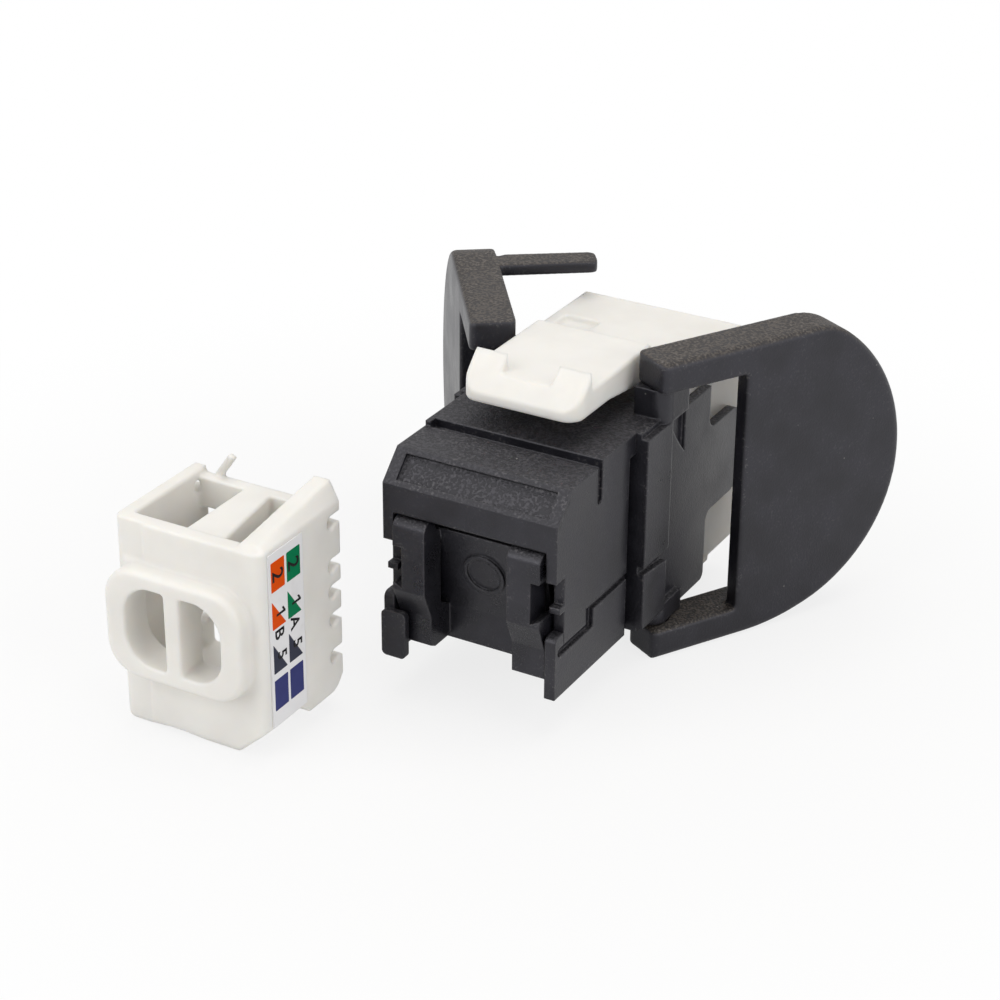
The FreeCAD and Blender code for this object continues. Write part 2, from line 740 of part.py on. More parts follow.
def rear_housing():
    """Box around the board and the terminals, with side cheeks and the levers' pivot pins."""
    body = new_body("rear_housing")
    add(body, "rear_box", "XZ_Plane", "front_depth", "rear_end",
        rectangle("-rear_half", "0", "rear_half", "ridge"))
    cut(body, "carrier_opening", "XZ_Plane", "front_depth", "rear_end",
        rectangle("-port_half", "floor_thick", "port_half", "port_top"))
    cut(body, "rear_room", "XZ_Plane", "front_depth + bulkhead", "rear_end",
        rectangle("-rear_inner", "rear_floor", "rear_inner", "roof - rear_floor"))
    block_end = "front_depth + block_depth"
    upper_block = add(body, "upper_side_block", "YZ_Plane", "rear_half", "block_half",
                      rectangle("front_depth", "block_low", block_end, "ridge - block_drop"))
    lower_block = add(body, "lower_side_block", "YZ_Plane", "rear_half", "block_half", [
        ("front_depth", "lower_block_low"),
        ("front_depth + lower_block_depth", "lower_block_low"),
        ("front_depth + lower_block_depth", "lower_block_top - lower_block_slope"),
        ("front_depth", "lower_block_top"),
    ])
    panel = cut(body, "side_panel", "YZ_Plane", "rear_half - panel_depth", "rear_half", [
        ("rear_end", "ridge"),
        ("front_depth + block_depth", "ridge"),
        ("rear_end", "lobe_high", "panel_curve"),
    ])
    cheek = add(body, "side_cheek", "YZ_Plane", "rear_inner", "rear_half", [
        ("rear_end", "cheek_bottom"),
        ("cheek_end - cheek_round", "cheek_bottom"),
        ("cheek_end", "cheek_bottom + cheek_round", "cheek_round"),
        ("cheek_end", "lobe_low - lobe_fillet"),
        ("cheek_end + lobe_fillet", "lobe_low", "-lobe_fillet"),
        ("lobe_end - lobe_round", "lobe_low"),
        ("lobe_end", "lobe_low + lobe_round", "lobe_round"),
        ("lobe_end", "lobe_high - lobe_round"),
        ("lobe_end - lobe_round", "lobe_high", "lobe_round"),
        ("cheek_end + lobe_fillet", "lobe_high"),
        ("cheek_end", "lobe_high + lobe_fillet", "-lobe_fillet"),
        ("cheek_end", "cheek_top"),
        ("rear_end", "cheek_top"),
    ])
    boss_outline = [
        ("block_half - boss_width", "boss_front"),
        ("block_half - boss_round", "boss_front"),
        ("block_half", "boss_front + boss_round", "boss_round"),
        ("block_half", "boss_front + boss_length"),
        ("block_half - boss_width", "boss_front + boss_length"),
    ]
    pin = ("circle", "pivot_across", "pivot_depth", "pivot_radius")
    upper_boss = add(body, "upper_boss", "XY_Plane", "ridge - block_drop", "boss_top", boss_outline)
    upper_pin = add(body, "upper_pin", "XY_Plane", "boss_top", "boss_top + pivot_length", pin)
    lower_boss = add(body, "lower_boss", "XY_Plane", "boss_bottom", "rear_floor", boss_outline)
    lower_pin = add(body, "lower_pin", "XY_Plane", "boss_bottom - pivot_length", "boss_bottom", pin)
    mirror(body, "left_side", upper_block, lower_block, panel, cheek, upper_boss, upper_pin, lower_boss,
           lower_pin)
    return body


def rear_frame():
    """White frame around the bay for the wire manager, with the panel latch as its forward tongue."""
    body = new_body("rear_frame")
    add(body, "bay_wall", "XZ_Plane", "rear_end", "frame_end",
        rectangle("-rear_inner", "frame_low", "rear_inner", "frame_top"),
        rectangle("-frame_inner", "bay_low", "frame_inner", "bay_top"))
    add(body, "latch", "YZ_Plane", "-latch_half", "latch_half", [
        ("latch_tip", "latch_low"),
        ("front_depth", "latch_low"),
        ("latch_back - latch_nose", "latch_heel"),
        ("rear_end", "bay_top"),
        ("rear_end + frame_roof", "bay_top"),
        ("rear_end + frame_roof", "frame_top"),
        ("latch_back", "latch_top"),
        ("latch_tip + latch_top - latch_low - latch_nose", "latch_top"),
        ("latch_tip", "latch_low + latch_nose"),
    ])
    catch_back = "latch_tip + latch_top - latch_low - latch_nose + catch_height"
    catch = add(body, "catch", "YZ_Plane", "catch_inner", "latch_half", [
        ("latch_tip + latch_top - latch_low - latch_nose", "latch_top"),
        (catch_back, "latch_top"),
        (catch_back, "latch_top + catch_height"),
    ])
    mirror(body, "left_catch", catch)
    tip = value("latch_tip") + SAME_PLACE
    round_edges(body, "latch_corners", "latch_round",
                lambda edge: edge.BoundBox.YMax < tip and edge.BoundBox.XLength < SAME_PLACE)
    add(body, "lower_lip", "YZ_Plane", "-frame_inner", "frame_inner", [
        ("lip_start", "frame_low - lip_drop"),
        ("lip_break", "frame_low - lip_drop"),
        ("lip_break", "frame_low - lip_end_drop"),
        ("frame_end", "frame_low - lip_end_drop"),
        ("frame_end", "bay_low"),
        ("lip_start", "bay_low"),
    ])
    cut(body, "tongue_seat", "XY_Plane", "frame_top - seat_depth", "frame_top",
        rectangle("seat_inset - rear_inner", "rear_end + seat_place",
                  "seat_inset + seat_width - rear_inner", "rear_end + seat_place + seat_length"))
    return body


def lever_outline():
    """Give the lever's outline: two straight edges and a thumb end of four arcs that run into each other."""
    return [
        ("-arm_front", "lever_high"),
        ("-arm_front", "lever_low"),
        ("bottom_straight", "lever_low"),
        ("bottom_straight + bottom_blend * sin(bottom_sweep)", "lever_low + bottom_rise", "bottom_blend"),
        ("lever_reach", "belly_height", "bottom_curve"),
        ("top_straight + top_blend * sin(top_sweep)", "lever_high - top_fall", "top_curve"),
        ("top_straight", "lever_high", "top_blend"),
    ]


def lever(label, side, turn):
    """One squeeze lever: a rimmed thumb plate on two arms that turn about the housing's pins."""
    place = (side + "pivot_across", "pivot_depth", "0")
    body = new_body(label, place, turn)

    def span(first, last):
        """Order two distances from the pivot, outwards being positive, along +X."""
        return (first, last) if side == "" else ("-(" + last + ")", "-(" + first + ")")

    add(body, "thumb_plate", "YZ_Plane", *span("-lever_inner", "lever_outer"), lever_outline())
    outer = value(side + "lever_outer")
    inner = value(side + "(-lever_inner)")
    DOC.recompute()
    plate = body.Tip
    faces = enumerate(plate.Shape.Faces, start=1)
    opened = ["Face%d" % number for number, face in faces if lies_at(face, inner)]
    shell = body.newObject("PartDesign::Thickness", "thumb_rim")
    shell.Base = (plate, opened)
    shell.setExpression("Value", formula("lever_plate"))
    shell.Join = "Intersection"
    shell.Reversed = True
    round_edges(body, "plate_edge", "lever_edge_round", lambda item: lies_at(item, outer))
    cut(body, "window", "YZ_Plane", *span("-lever_inner", "lever_outer + lever_plate"),
        rectangle("-2 * arm_front", "lever_low + arm_height", "window_end", "lever_high - arm_height"))
    levels = (
        ("upper", "lever_high - arm_height", "lever_high"),
        ("lower", "lever_low", "lever_low + arm_height"),
    )
    for name, low, high in levels:
        add(body, name + "_arm", "YZ_Plane", *span("-lever_inner", "lever_outer - lever_edge_round"),
            rectangle("-arm_front", low, "arm_end", high))
    front = value("-arm_front")
    round_edges(body, "arm_ends", "arm_end_round",
                lambda edge: lies_at(edge, inner) and lies_along(edge, front))
    hole = ("circle", "0", "0", "pivot_radius + running_play")
    depth = "arm_gap + pivot_length"
    cut(body, "upper_eye", "XY_Plane", "boss_top", "boss_top + %s" % depth, hole)
    cut(body, "lower_eye", "XY_Plane", "boss_bottom - %s" % depth.replace("+", "-"), "boss_bottom", hole)
    return body


def lies_at(shape, across):
    """Tell whether an edge or a face lies in the plane at one place across."""
    box = shape.BoundBox
    return box.XLength < SAME_PLACE and abs(box.XMin - across) < SAME_PLACE


def lies_along(shape, depth):
    """Tell whether an edge or a face lies in the plane at one depth."""
    box = shape.BoundBox
    return box.YLength < SAME_PLACE and abs(box.YMin - depth) < SAME_PLACE


def locking_tongue(body):
    """Tapered bar on the left lever's upper rim that reaches across the bay when the levers are shut."""
    tip = "lever_inner + tongue_length"
    far_side = "tongue_start + tongue_tip"
    root = "tongue_start + tongue_root"
    add(body, "tongue", "XY_Plane", "lever_high - tongue_thick", "lever_high", [
        ("0", "tongue_start"),
        (tip + " - tongue_round", "tongue_start"),
        (tip, "tongue_start + tongue_round", "tongue_round"),
        (tip, far_side + " - tongue_round"),
        (tip + " - tongue_round", far_side, "tongue_round"),
        ("lever_inner + tongue_web", root),
        ("0", root + " + tongue_web", "-2 * tongue_web"),
    ])


def wire_manager():
    """White block that carries the wires to the terminals, with a cable collar and a comb on each side."""
    body = new_body("wire_manager", ("manager_across", "manager_place", "lever_low"))
    top = "manager_height"
    add(body, "manager_block", "XZ_Plane", "0", "manager_depth", [
        ("-manager_half + manager_wall / 2", "0", "manager_wall / 2"),
        ("arch_left", "0"),
        ("arch_right", "0", "-arch_radius"),
        ("keel_right", "0"),
        ("manager_half", "keel_rise"),
        ("manager_half", top),
        ("-manager_half", top),
        ("-manager_half", "manager_wall / 2"),
    ])
    cut(body, "channel", "XZ_Plane", "manager_front", "manager_depth",
        rectangle("-manager_inner", "manager_floor", "manager_inner", top + " + manager_wall"))
    side = value("manager_half") - SAME_PLACE
    round_edges(body, "front_edges", "manager_round",
                lambda edge: edge.BoundBox.YMax < SAME_PLACE and edge.BoundBox.XLength < SAME_PLACE
                and abs(edge.BoundBox.XMin) > side)
    add(body, "collar", "XZ_Plane", "-collar_length", "manager_front / 2",
        rounded_rectangle("collar_shift", "collar_middle", "collar_width", "collar_height", "collar_corner"))
    mouth_plane = SAME_PLACE - value("collar_length")
    round_edges(body, "collar_rim", "collar_round", lambda edge: edge.BoundBox.YMax < mouth_plane)
    cut(body, "front_step", "XZ_Plane", "0", "step_depth",
        rectangle("-manager_half", "0", "step_width - manager_half", "collar_middle - collar_height / 2"),
        rectangle("-manager_half", "collar_middle + collar_height / 2", "step_width - manager_half", top))
    cut(body, "cable_hole", "XZ_Plane", "-collar_length", "manager_front",
        rounded_rectangle("collar_shift", "collar_middle", "cable_width", "cable_height", "cable_corner"))
    add(body, "divider", "XZ_Plane", "-collar_length", "manager_front",
        rectangle("collar_shift - divider_width / 2", "collar_middle - cable_height / 2 - manager_wall / 2",
                  "collar_shift + divider_width / 2", "collar_middle + cable_height / 2 + manager_wall / 2"))
    add(body, "back_bar", "XZ_Plane", "manager_depth - bar_thick", "manager_depth",
        rectangle("-manager_inner", top + " - spine_height", "manager_inner", top + " - spine_drop"))
    add(body, "spine", "XY_Plane", top + " - spine_height", top + " - spine_drop", [
        ("spine_left", "manager_front"),
        ("spine_left + spine_front", "manager_front"),
        ("spine_left + spine_back", "manager_depth"),
        ("spine_left", "manager_depth"),
    ])
    sections = []
    for end, place, rise in (("front", "manager_front / 2", "shoulder_front"),
                             ("back", "manager_depth", "shoulder_rise")):
        sections.append(new_sketch(body, "shoulder_" + end, "XZ_Plane", place, [[
            ("manager_inner - shoulder_width", top + " - spine_height"),
            ("manager_half", top + " - spine_height"),
            ("manager_half", top),
            ("manager_half - shoulder_slope", top + " + " + rise),
            ("manager_inner - shoulder_width", top + " + " + rise),
        ]]))
    shoulder = body.newObject("PartDesign::AdditiveLoft", "shoulder")
    shoulder.Profile = sections[0]
    shoulder.Sections = sections[1:]
    finger = "finger_place - manager_half"
    add(body, "finger", "XZ_Plane", "manager_depth - finger_size", "manager_depth", [
        (finger, top + " - spine_height"),
        (finger + " + finger_size", top + " - spine_height"),
        (finger + " + finger_size", top + " - spine_drop"),
        (finger + " + finger_size + finger_lean", top + " + finger_rise - finger_size / 2"),
        (finger + " + finger_lean", top + " + finger_rise"),
        (finger, top + " - spine_drop + finger_size / 2"),
    ])
    add(body, "heel", "YZ_Plane", "manager_inner", "manager_half", [
        ("heel_start + heel_slope", "keel_rise - heel_drop"),
        ("manager_depth - heel_round", "keel_rise - heel_drop"),
        ("manager_depth", "keel_rise - heel_drop + heel_round", "heel_round"),
        ("manager_depth", "keel_rise + manager_wall"),
        ("heel_start", "keel_rise + manager_wall"),
        ("heel_start", "keel_rise"),
    ])
    notches = []
    mouth = "manager_depth + comb_slot"
    root = "manager_depth - comb_depth"
    for level in COMB_LEVELS:
        notches.append([
            (mouth, level + " - comb_slot / 2"),
            (mouth, level + " + comb_slot / 2"),
            (root + " + comb_slot", level + " + comb_slot / 2"),
            (root + " + comb_slot", level + " - comb_slot / 2 - comb_hook", "comb_slot / 2 + comb_hook / 2"),
            (root + " + 1.5 * comb_slot", level + " - comb_slot / 2"),
        ])
    comb = cut(body, "comb", "YZ_Plane", "manager_inner", "manager_half", *notches)
    mirror(body, "left_comb", comb)
    return body


def wiring_label():
    """Thin label on the right side of the wire manager."""
    body = new_body("wiring_label", ("manager_across", "manager_place", "lever_low"))
    add(body, "label", "YZ_Plane", "manager_half", "manager_half + label_thick",
        rectangle("label_margin", "label_low", "label_margin + label_width", "label_low + label_height"))
    return body


def check_document():
    """Stop if any object of the document failed or came out empty."""
    for item in DOC.Objects:
        if "Invalid" in item.State or "Error" in item.State:
            raise RuntimeError("%s failed: %s" % (item.Label, item.State))


def write_parts(bodies):
    """Check each sub-part's shape and write it to its own file."""
    os.makedirs("parts", exist_ok=True)
    for body in bodies:
        if body.Shape.isNull() or not body.Shape.isValid():
            raise RuntimeError(body.Label + " has no valid shape")
    for body in bodies:
        body.Shape.exportStep("parts/%s.step" % body.Label)


def main():
    """Build every sub-part, check the document and write the parts."""
    fill_sheet()
    bodies = [upper_housing(), lower_housing(), port_shutter(), contact_carrier()]
    bodies += [spring_contact(number, place) for number, place in enumerate(contact_places(), start=1)]
    bodies += [circuit_board(), terminal_block()]
    bodies += [
        cutting_terminal(number, side, row) for number, (side, row) in enumerate(terminal_rows(), start=1)
    ]
    bodies += [rear_housing(), rear_frame()]
    right = lever("right_lever", "", "-right_open")
    left = lever("left_lever", "-", "left_open")
    locking_tongue(left)
    bodies += [right, left, wire_manager(), wiring_label()]
    DOC.recompute()
    check_document()
    write_parts(bodies)
    for body in bodies:
        print(body.Label, len(body.Shape.Solids), round(body.Shape.Volume, 2), body.Shape.BoundBox)


main()
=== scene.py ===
"""Looks of the keystone jack: its finishes, moulded edges, label print and studio."""

from __future__ import annotations

import logging
import math
from dataclasses import dataclass
from enum import Enum
from typing import ClassVar, Mapping, Sequence, Union

import bmesh
import bpy
from mathutils import Matrix, Quaternion, Vector

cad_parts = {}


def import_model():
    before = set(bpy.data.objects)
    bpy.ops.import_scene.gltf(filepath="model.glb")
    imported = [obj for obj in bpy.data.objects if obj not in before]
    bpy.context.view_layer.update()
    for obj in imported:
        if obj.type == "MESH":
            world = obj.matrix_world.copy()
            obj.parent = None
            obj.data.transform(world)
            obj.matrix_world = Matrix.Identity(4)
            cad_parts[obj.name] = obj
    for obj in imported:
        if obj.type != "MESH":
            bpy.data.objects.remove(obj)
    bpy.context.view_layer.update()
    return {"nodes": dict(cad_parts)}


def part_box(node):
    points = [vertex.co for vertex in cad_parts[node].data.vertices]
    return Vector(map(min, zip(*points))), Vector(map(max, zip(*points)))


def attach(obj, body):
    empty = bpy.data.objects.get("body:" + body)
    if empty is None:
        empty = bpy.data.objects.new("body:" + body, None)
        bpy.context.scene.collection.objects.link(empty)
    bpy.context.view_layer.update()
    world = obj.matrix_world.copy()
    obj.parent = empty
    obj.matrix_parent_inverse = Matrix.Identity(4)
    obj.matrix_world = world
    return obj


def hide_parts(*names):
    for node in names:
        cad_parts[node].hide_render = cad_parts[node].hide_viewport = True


LOG = logging.getLogger("keystone_jack")
MM = 0.001

Colour = tuple[float, float, float]
Place = tuple[float, float, float]
Point = tuple[float, float]
Band = tuple[float, float]
Value = Union[float, Sequence[float], "Signal"]
SocketKey = Union[int, str]

PLAIN_WHITE: Colour = (1.0, 1.0, 1.0)


class Body(Enum):
    """The bodies that added pieces ride on."""

    JACK = "jack"
    RIGHT_LEVER = "right_squeeze_lever"
    LEFT_LEVER = "left_squeeze_lever"


class Slot(Enum):
    """Names of material slots, passed along with added pieces."""

    BLACK = "black_plastic"
    WHITE = "white_plastic"
    LABEL = "label"


class Signal:
    """A shader socket whose value takes part in plain sums."""

    def __init__(self, sheet: ShaderSheet, socket: bpy.types.NodeSocket) -> None:
        """Keep the sheet of nodes and the socket that gives the value."""
        self.sheet = sheet
        self.socket = socket

    def _math(self, operation: str, first: Value, second: Value = 0.0) -> Signal:
        """Add a Math node that works on two values.

        Args:
            operation: The Math node's operation.
            first: The first value or signal.
            second: The second value or signal.

        Returns:
            The result as a signal.
        """
        return self.sheet.read("ShaderNodeMath", {"operation": operation}, {0: first, 1: second})

    def __add__(self, other: Value) -> Signal:
        """Sum with another value."""
        return self._math("ADD", self, other)

    def __radd__(self, other: Value) -> Signal:
        """Sum with a value on the left."""
        return self._math("ADD", other, self)

    def __sub__(self, other: Value) -> Signal:
        """Difference from another value."""
        return self._math("SUBTRACT", self, other)

    def __rsub__(self, other: Value) -> Signal:
        """Difference of a value on the left."""
        return self._math("SUBTRACT", other, self)

    def __mul__(self, other: Value) -> Signal:
        """Product with another value."""
        return self._math("MULTIPLY", self, other)

    def __rmul__(self, other: Value) -> Signal:
        """Product with a value on the left."""
        return self._math("MULTIPLY", other, self)

    def __lt__(self, other: Value) -> Signal:
        """One where the value is below another, else nought."""
        return self._math("LESS_THAN", self, other)

    def __gt__(self, other: Value) -> Signal:
        """One where the value is above another: the reflected form of below."""
        return self._math("GREATER_THAN", self, other)

    def __abs__(self) -> Signal:
        """Size of the value without its sign."""
        return self._math("ABSOLUTE", self)

    def at_most(self, other: Value) -> Signal:
        """Smaller of the two values."""
        return self._math("MINIMUM", self, other)

    def at_least(self, other: Value) -> Signal:
        """Larger of the two values."""
        return self._math("MAXIMUM", self, other)

    def swing(self, share: float) -> Signal:
        """The value's swing around one half, times a share."""
        return (self - 0.5) * share

    def rise(self, low: float, high: float) -> Signal:
        """Climb smoothly from nought to one between two values.

        Args:
            low: The value at which the climb starts.
            high: The value at which it ends.

        Returns:
            The climb as a signal.
        """
        return self.sheet.read(
            "ShaderNodeMapRange",
            {"interpolation_type": "SMOOTHSTEP"},
            {"Value": self, "From Min": low, "From Max": high, "To Min": 0.0, "To Max": 1.0},
        )


class ShaderSheet:
    """The nodes of one material or world."""

    bevel_samples: ClassVar[int] = 6
    upward_band: ClassVar[Band] = (0.3, 0.85)
    speck_core: ClassVar[float] = 0.5

    def __init__(self, owner: Union[bpy.types.Material, bpy.types.World]) -> None:
        """Take over the owner's nodes and clear them.

        Args:
            owner: The material or world.
        """
        owner.use_nodes = True
        self.tree = owner.node_tree
        self.tree.nodes.clear()

    def node(
        self, kind: str, settings: Mapping[str, object], sockets: Mapping[SocketKey, Value]
    ) -> bpy.types.Node:
        """Add a node, set it and then feed its sockets.

        Args:
            kind: The node's type.
            settings: Its settings by name, which are set first.
            sockets: Values or signals by the socket's place, identifier or name.

        Returns:
            The new node.
        """
        made = self.tree.nodes.new(kind)
        for name, choice in settings.items():
            setattr(made, name, choice)
        for key, given in sockets.items():
            socket = self._find(made.inputs, key)
            if isinstance(given, Signal):
                self.tree.links.new(given.socket, socket)
            else:
                socket.default_value = self._fit(socket, given)
        return made

    def read(
        self,
        kind: str,
        settings: Mapping[str, object],
        sockets: Mapping[SocketKey, Value],
        result: SocketKey = 0,
    ) -> Signal:
        """Add a node and take one of its outputs.

        Args:
            kind: The node's type.
            settings: Its settings by name.
            sockets: Values or signals by the socket's place, identifier or name.
            result: The output that is wanted.

        Returns:
            That output as a signal.
        """
        return Signal(self, self._find(self.node(kind, settings, sockets).outputs, result))

    @staticmethod
    def _find(
        sockets: Sequence[bpy.types.NodeSocket], key: SocketKey
    ) -> bpy.types.NodeSocket:
        """Find a socket by its place, its identifier or its name.

        Args:
            sockets: The node's inputs or outputs.
            key: The place, identifier or name.

        Returns:
            The socket.
        """
        if isinstance(key, int):
            return sockets[key]
        for socket in sockets:
            if socket.identifier == key:
                return socket
        return sockets[key]

    @staticmethod
    def _fit(socket: bpy.types.NodeSocket, given: Value) -> Value:
        """Add the alpha that a colour socket holds beside its three numbers."""
        is_colour = socket.type == "RGBA" and len(given) == 3
        return (*given, 1.0) if is_colour else given

    def place(self) -> Signal:
        """Where a point of the surface lies on the part at rest."""
        return self.read("ShaderNodeTexCoord", {}, {}, "Object")

    def along(self, place: Signal, axis: str) -> Signal:
        """One coordinate of a place, named X, Y or Z."""
        return self.read("ShaderNodeSeparateXYZ", {}, {"Vector": place}, axis)

    def stretch(self, place: Signal, factors: Place) -> Signal:
        """A place with its coordinates scaled one by one."""
        sockets = {0: place, 1: factors}
        return self.read("ShaderNodeVectorMath", {"operation": "MULTIPLY"}, sockets, "Vector")

    def noise(self, place: Signal, size: float, detail: float = 2.0) -> Signal:
        """Cloudy variation around one half.

        Args:
            place: Where the surface lies.
            size: Width of one patch, in metres.
            detail: Number of finer layers.

        Returns:
            The variation, from nought to one.
        """
        sockets = {"Vector": place, "Scale": 1.0 / size, "Detail": detail}
        return self.read("ShaderNodeTexNoise", {"noise_dimensions": "3D"}, sockets, "Fac")

    def specks(self, place: Signal, spacing: float, radius: float, share: float) -> Signal:
        """Small scattered dots.

        Args:
            place: Where the surface lies.
            spacing: Usual distance between possible dots, in metres.
            radius: Radius of a dot, in metres.
            share: Share of the possible dots that are there.

        Returns:
            One in a dot, nought outside.
        """
        sockets = {"Vector": place, "Scale": 1.0 / spacing}
        cell = self.node("ShaderNodeTexVoronoi", {"feature": "F1"}, sockets)
        distance = Signal(self, cell.outputs["Distance"])
        colour = Signal(self, cell.outputs["Color"])
        chance = self.read("ShaderNodeSeparateColor", {}, {"Color": colour}, "Red")
        reach = radius / spacing
        near = 1.0 - distance.rise(self.speck_core * reach, reach)
        return near * (chance < share)

    def rounded_normal(self, radius: float) -> Signal:
        """The surface's direction with its edges rounded off by a radius in metres."""
        settings = {"samples": self.bevel_samples}
        return self.read("ShaderNodeBevel", settings, {"Radius": radius}, "Normal")

    def face_normal(self) -> Signal:
        """The surface's own direction."""
        return self.read("ShaderNodeNewGeometry", {}, {}, "Normal")

    def facing_up(self) -> Signal:
        """One on faces that look up, nought on upright ones and undersides."""
        return self.along(self.face_normal(), "Z").rise(*self.upward_band)

    def edges(self, rounded: Signal, turn: float) -> Signal:
        """Where the surface turns round an edge.

        Args:
            rounded: The direction with rounded edges.
            turn: How far the direction has to turn to count in full.

        Returns:
            One at an edge, nought on open faces.
        """
        sockets = {0: rounded, 1: self.face_normal()}
        same = self.read("ShaderNodeVectorMath", {"operation": "DOT_PRODUCT"}, sockets, "Value")
        return (1.0 - same).rise(0.0, turn)

    def mix(self, factor: Value, first: Value, second: Value) -> Signal:
        """Go from one colour to another.

        Args:
            factor: Nought for the first colour, one for the second.
            first: The first colour.
            second: The second colour.

        Returns:
            The mixed colour.
        """
        sockets = {"Factor_Float": factor, "A_Color": first, "B_Color": second}
        return self.read("ShaderNodeMix", {"data_type": "RGBA"}, sockets, "Result_Color")

    def shade(self, factor: Value, colour: Colour, shades: Band) -> Signal:
        """Go from a darker to a lighter shade of one colour.

        Args:
            factor: Nought for the darker shade, one for the lighter.
            colour: The colour.
            shades: Its factor at either end.

        Returns:
            The mixed colour.
        """
        dark, light = shades
        return self.mix(factor, scaled(colour, dark), scaled(colour, light))

    def bump(self, height: Signal, depth: float, strength: float, normal: Signal) -> Signal:
        """Raise the surface by a height.

        Args:
            height: The height, from nought to one.
            depth: What one stands for, in metres.
            strength: Share of the effect.
            normal: The direction that is changed.

        Returns:
            The new direction.
        """
        sockets = {"Height": height, "Distance": depth, "Strength": strength, "Normal": normal}
        return self.read("ShaderNodeBump", {}, sockets, "Normal")

    def surface(self, sockets: Mapping[SocketKey, Value]) -> None:
        """Finish a material with one shader and its output."""
        shader = self.read("ShaderNodeBsdfPrincipled", {}, sockets, "BSDF")
        self.node("ShaderNodeOutputMaterial", {}, {"Surface": shader})

    def ray(self, kind: str) -> Signal:
        """One for a ray of the kind Camera, Glossy or Transmission, nought for others."""
        return self.read("ShaderNodeLightPath", {}, {}, f"Is {kind} Ray")

    def mirrored(self) -> Signal:
        """One for a ray from a reflection or through a see-through body."""
        return self.ray("Glossy").at_least(self.ray("Transmission"))


class Finish:
    """What a surface is made of."""

    name: str

    def material(self) -> bpy.types.Material:
        """The finish as a material, made once.

        Returns:
            The material.
        """
        made = bpy.data.materials.get(self.name)
        if made is None:
            made = bpy.data.materials.new(self.name)
            self.paint(ShaderSheet(made))
        return made

    def paint(self, sheet: ShaderSheet) -> None:
        """Lay out the finish on a sheet of nodes."""
        raise NotImplementedError


def scaled(colour: Colour, factor: float) -> Colour:
    """A colour made lighter or darker by a factor."""
    red, green, blue = colour
    return red * factor, green * factor, blue * factor


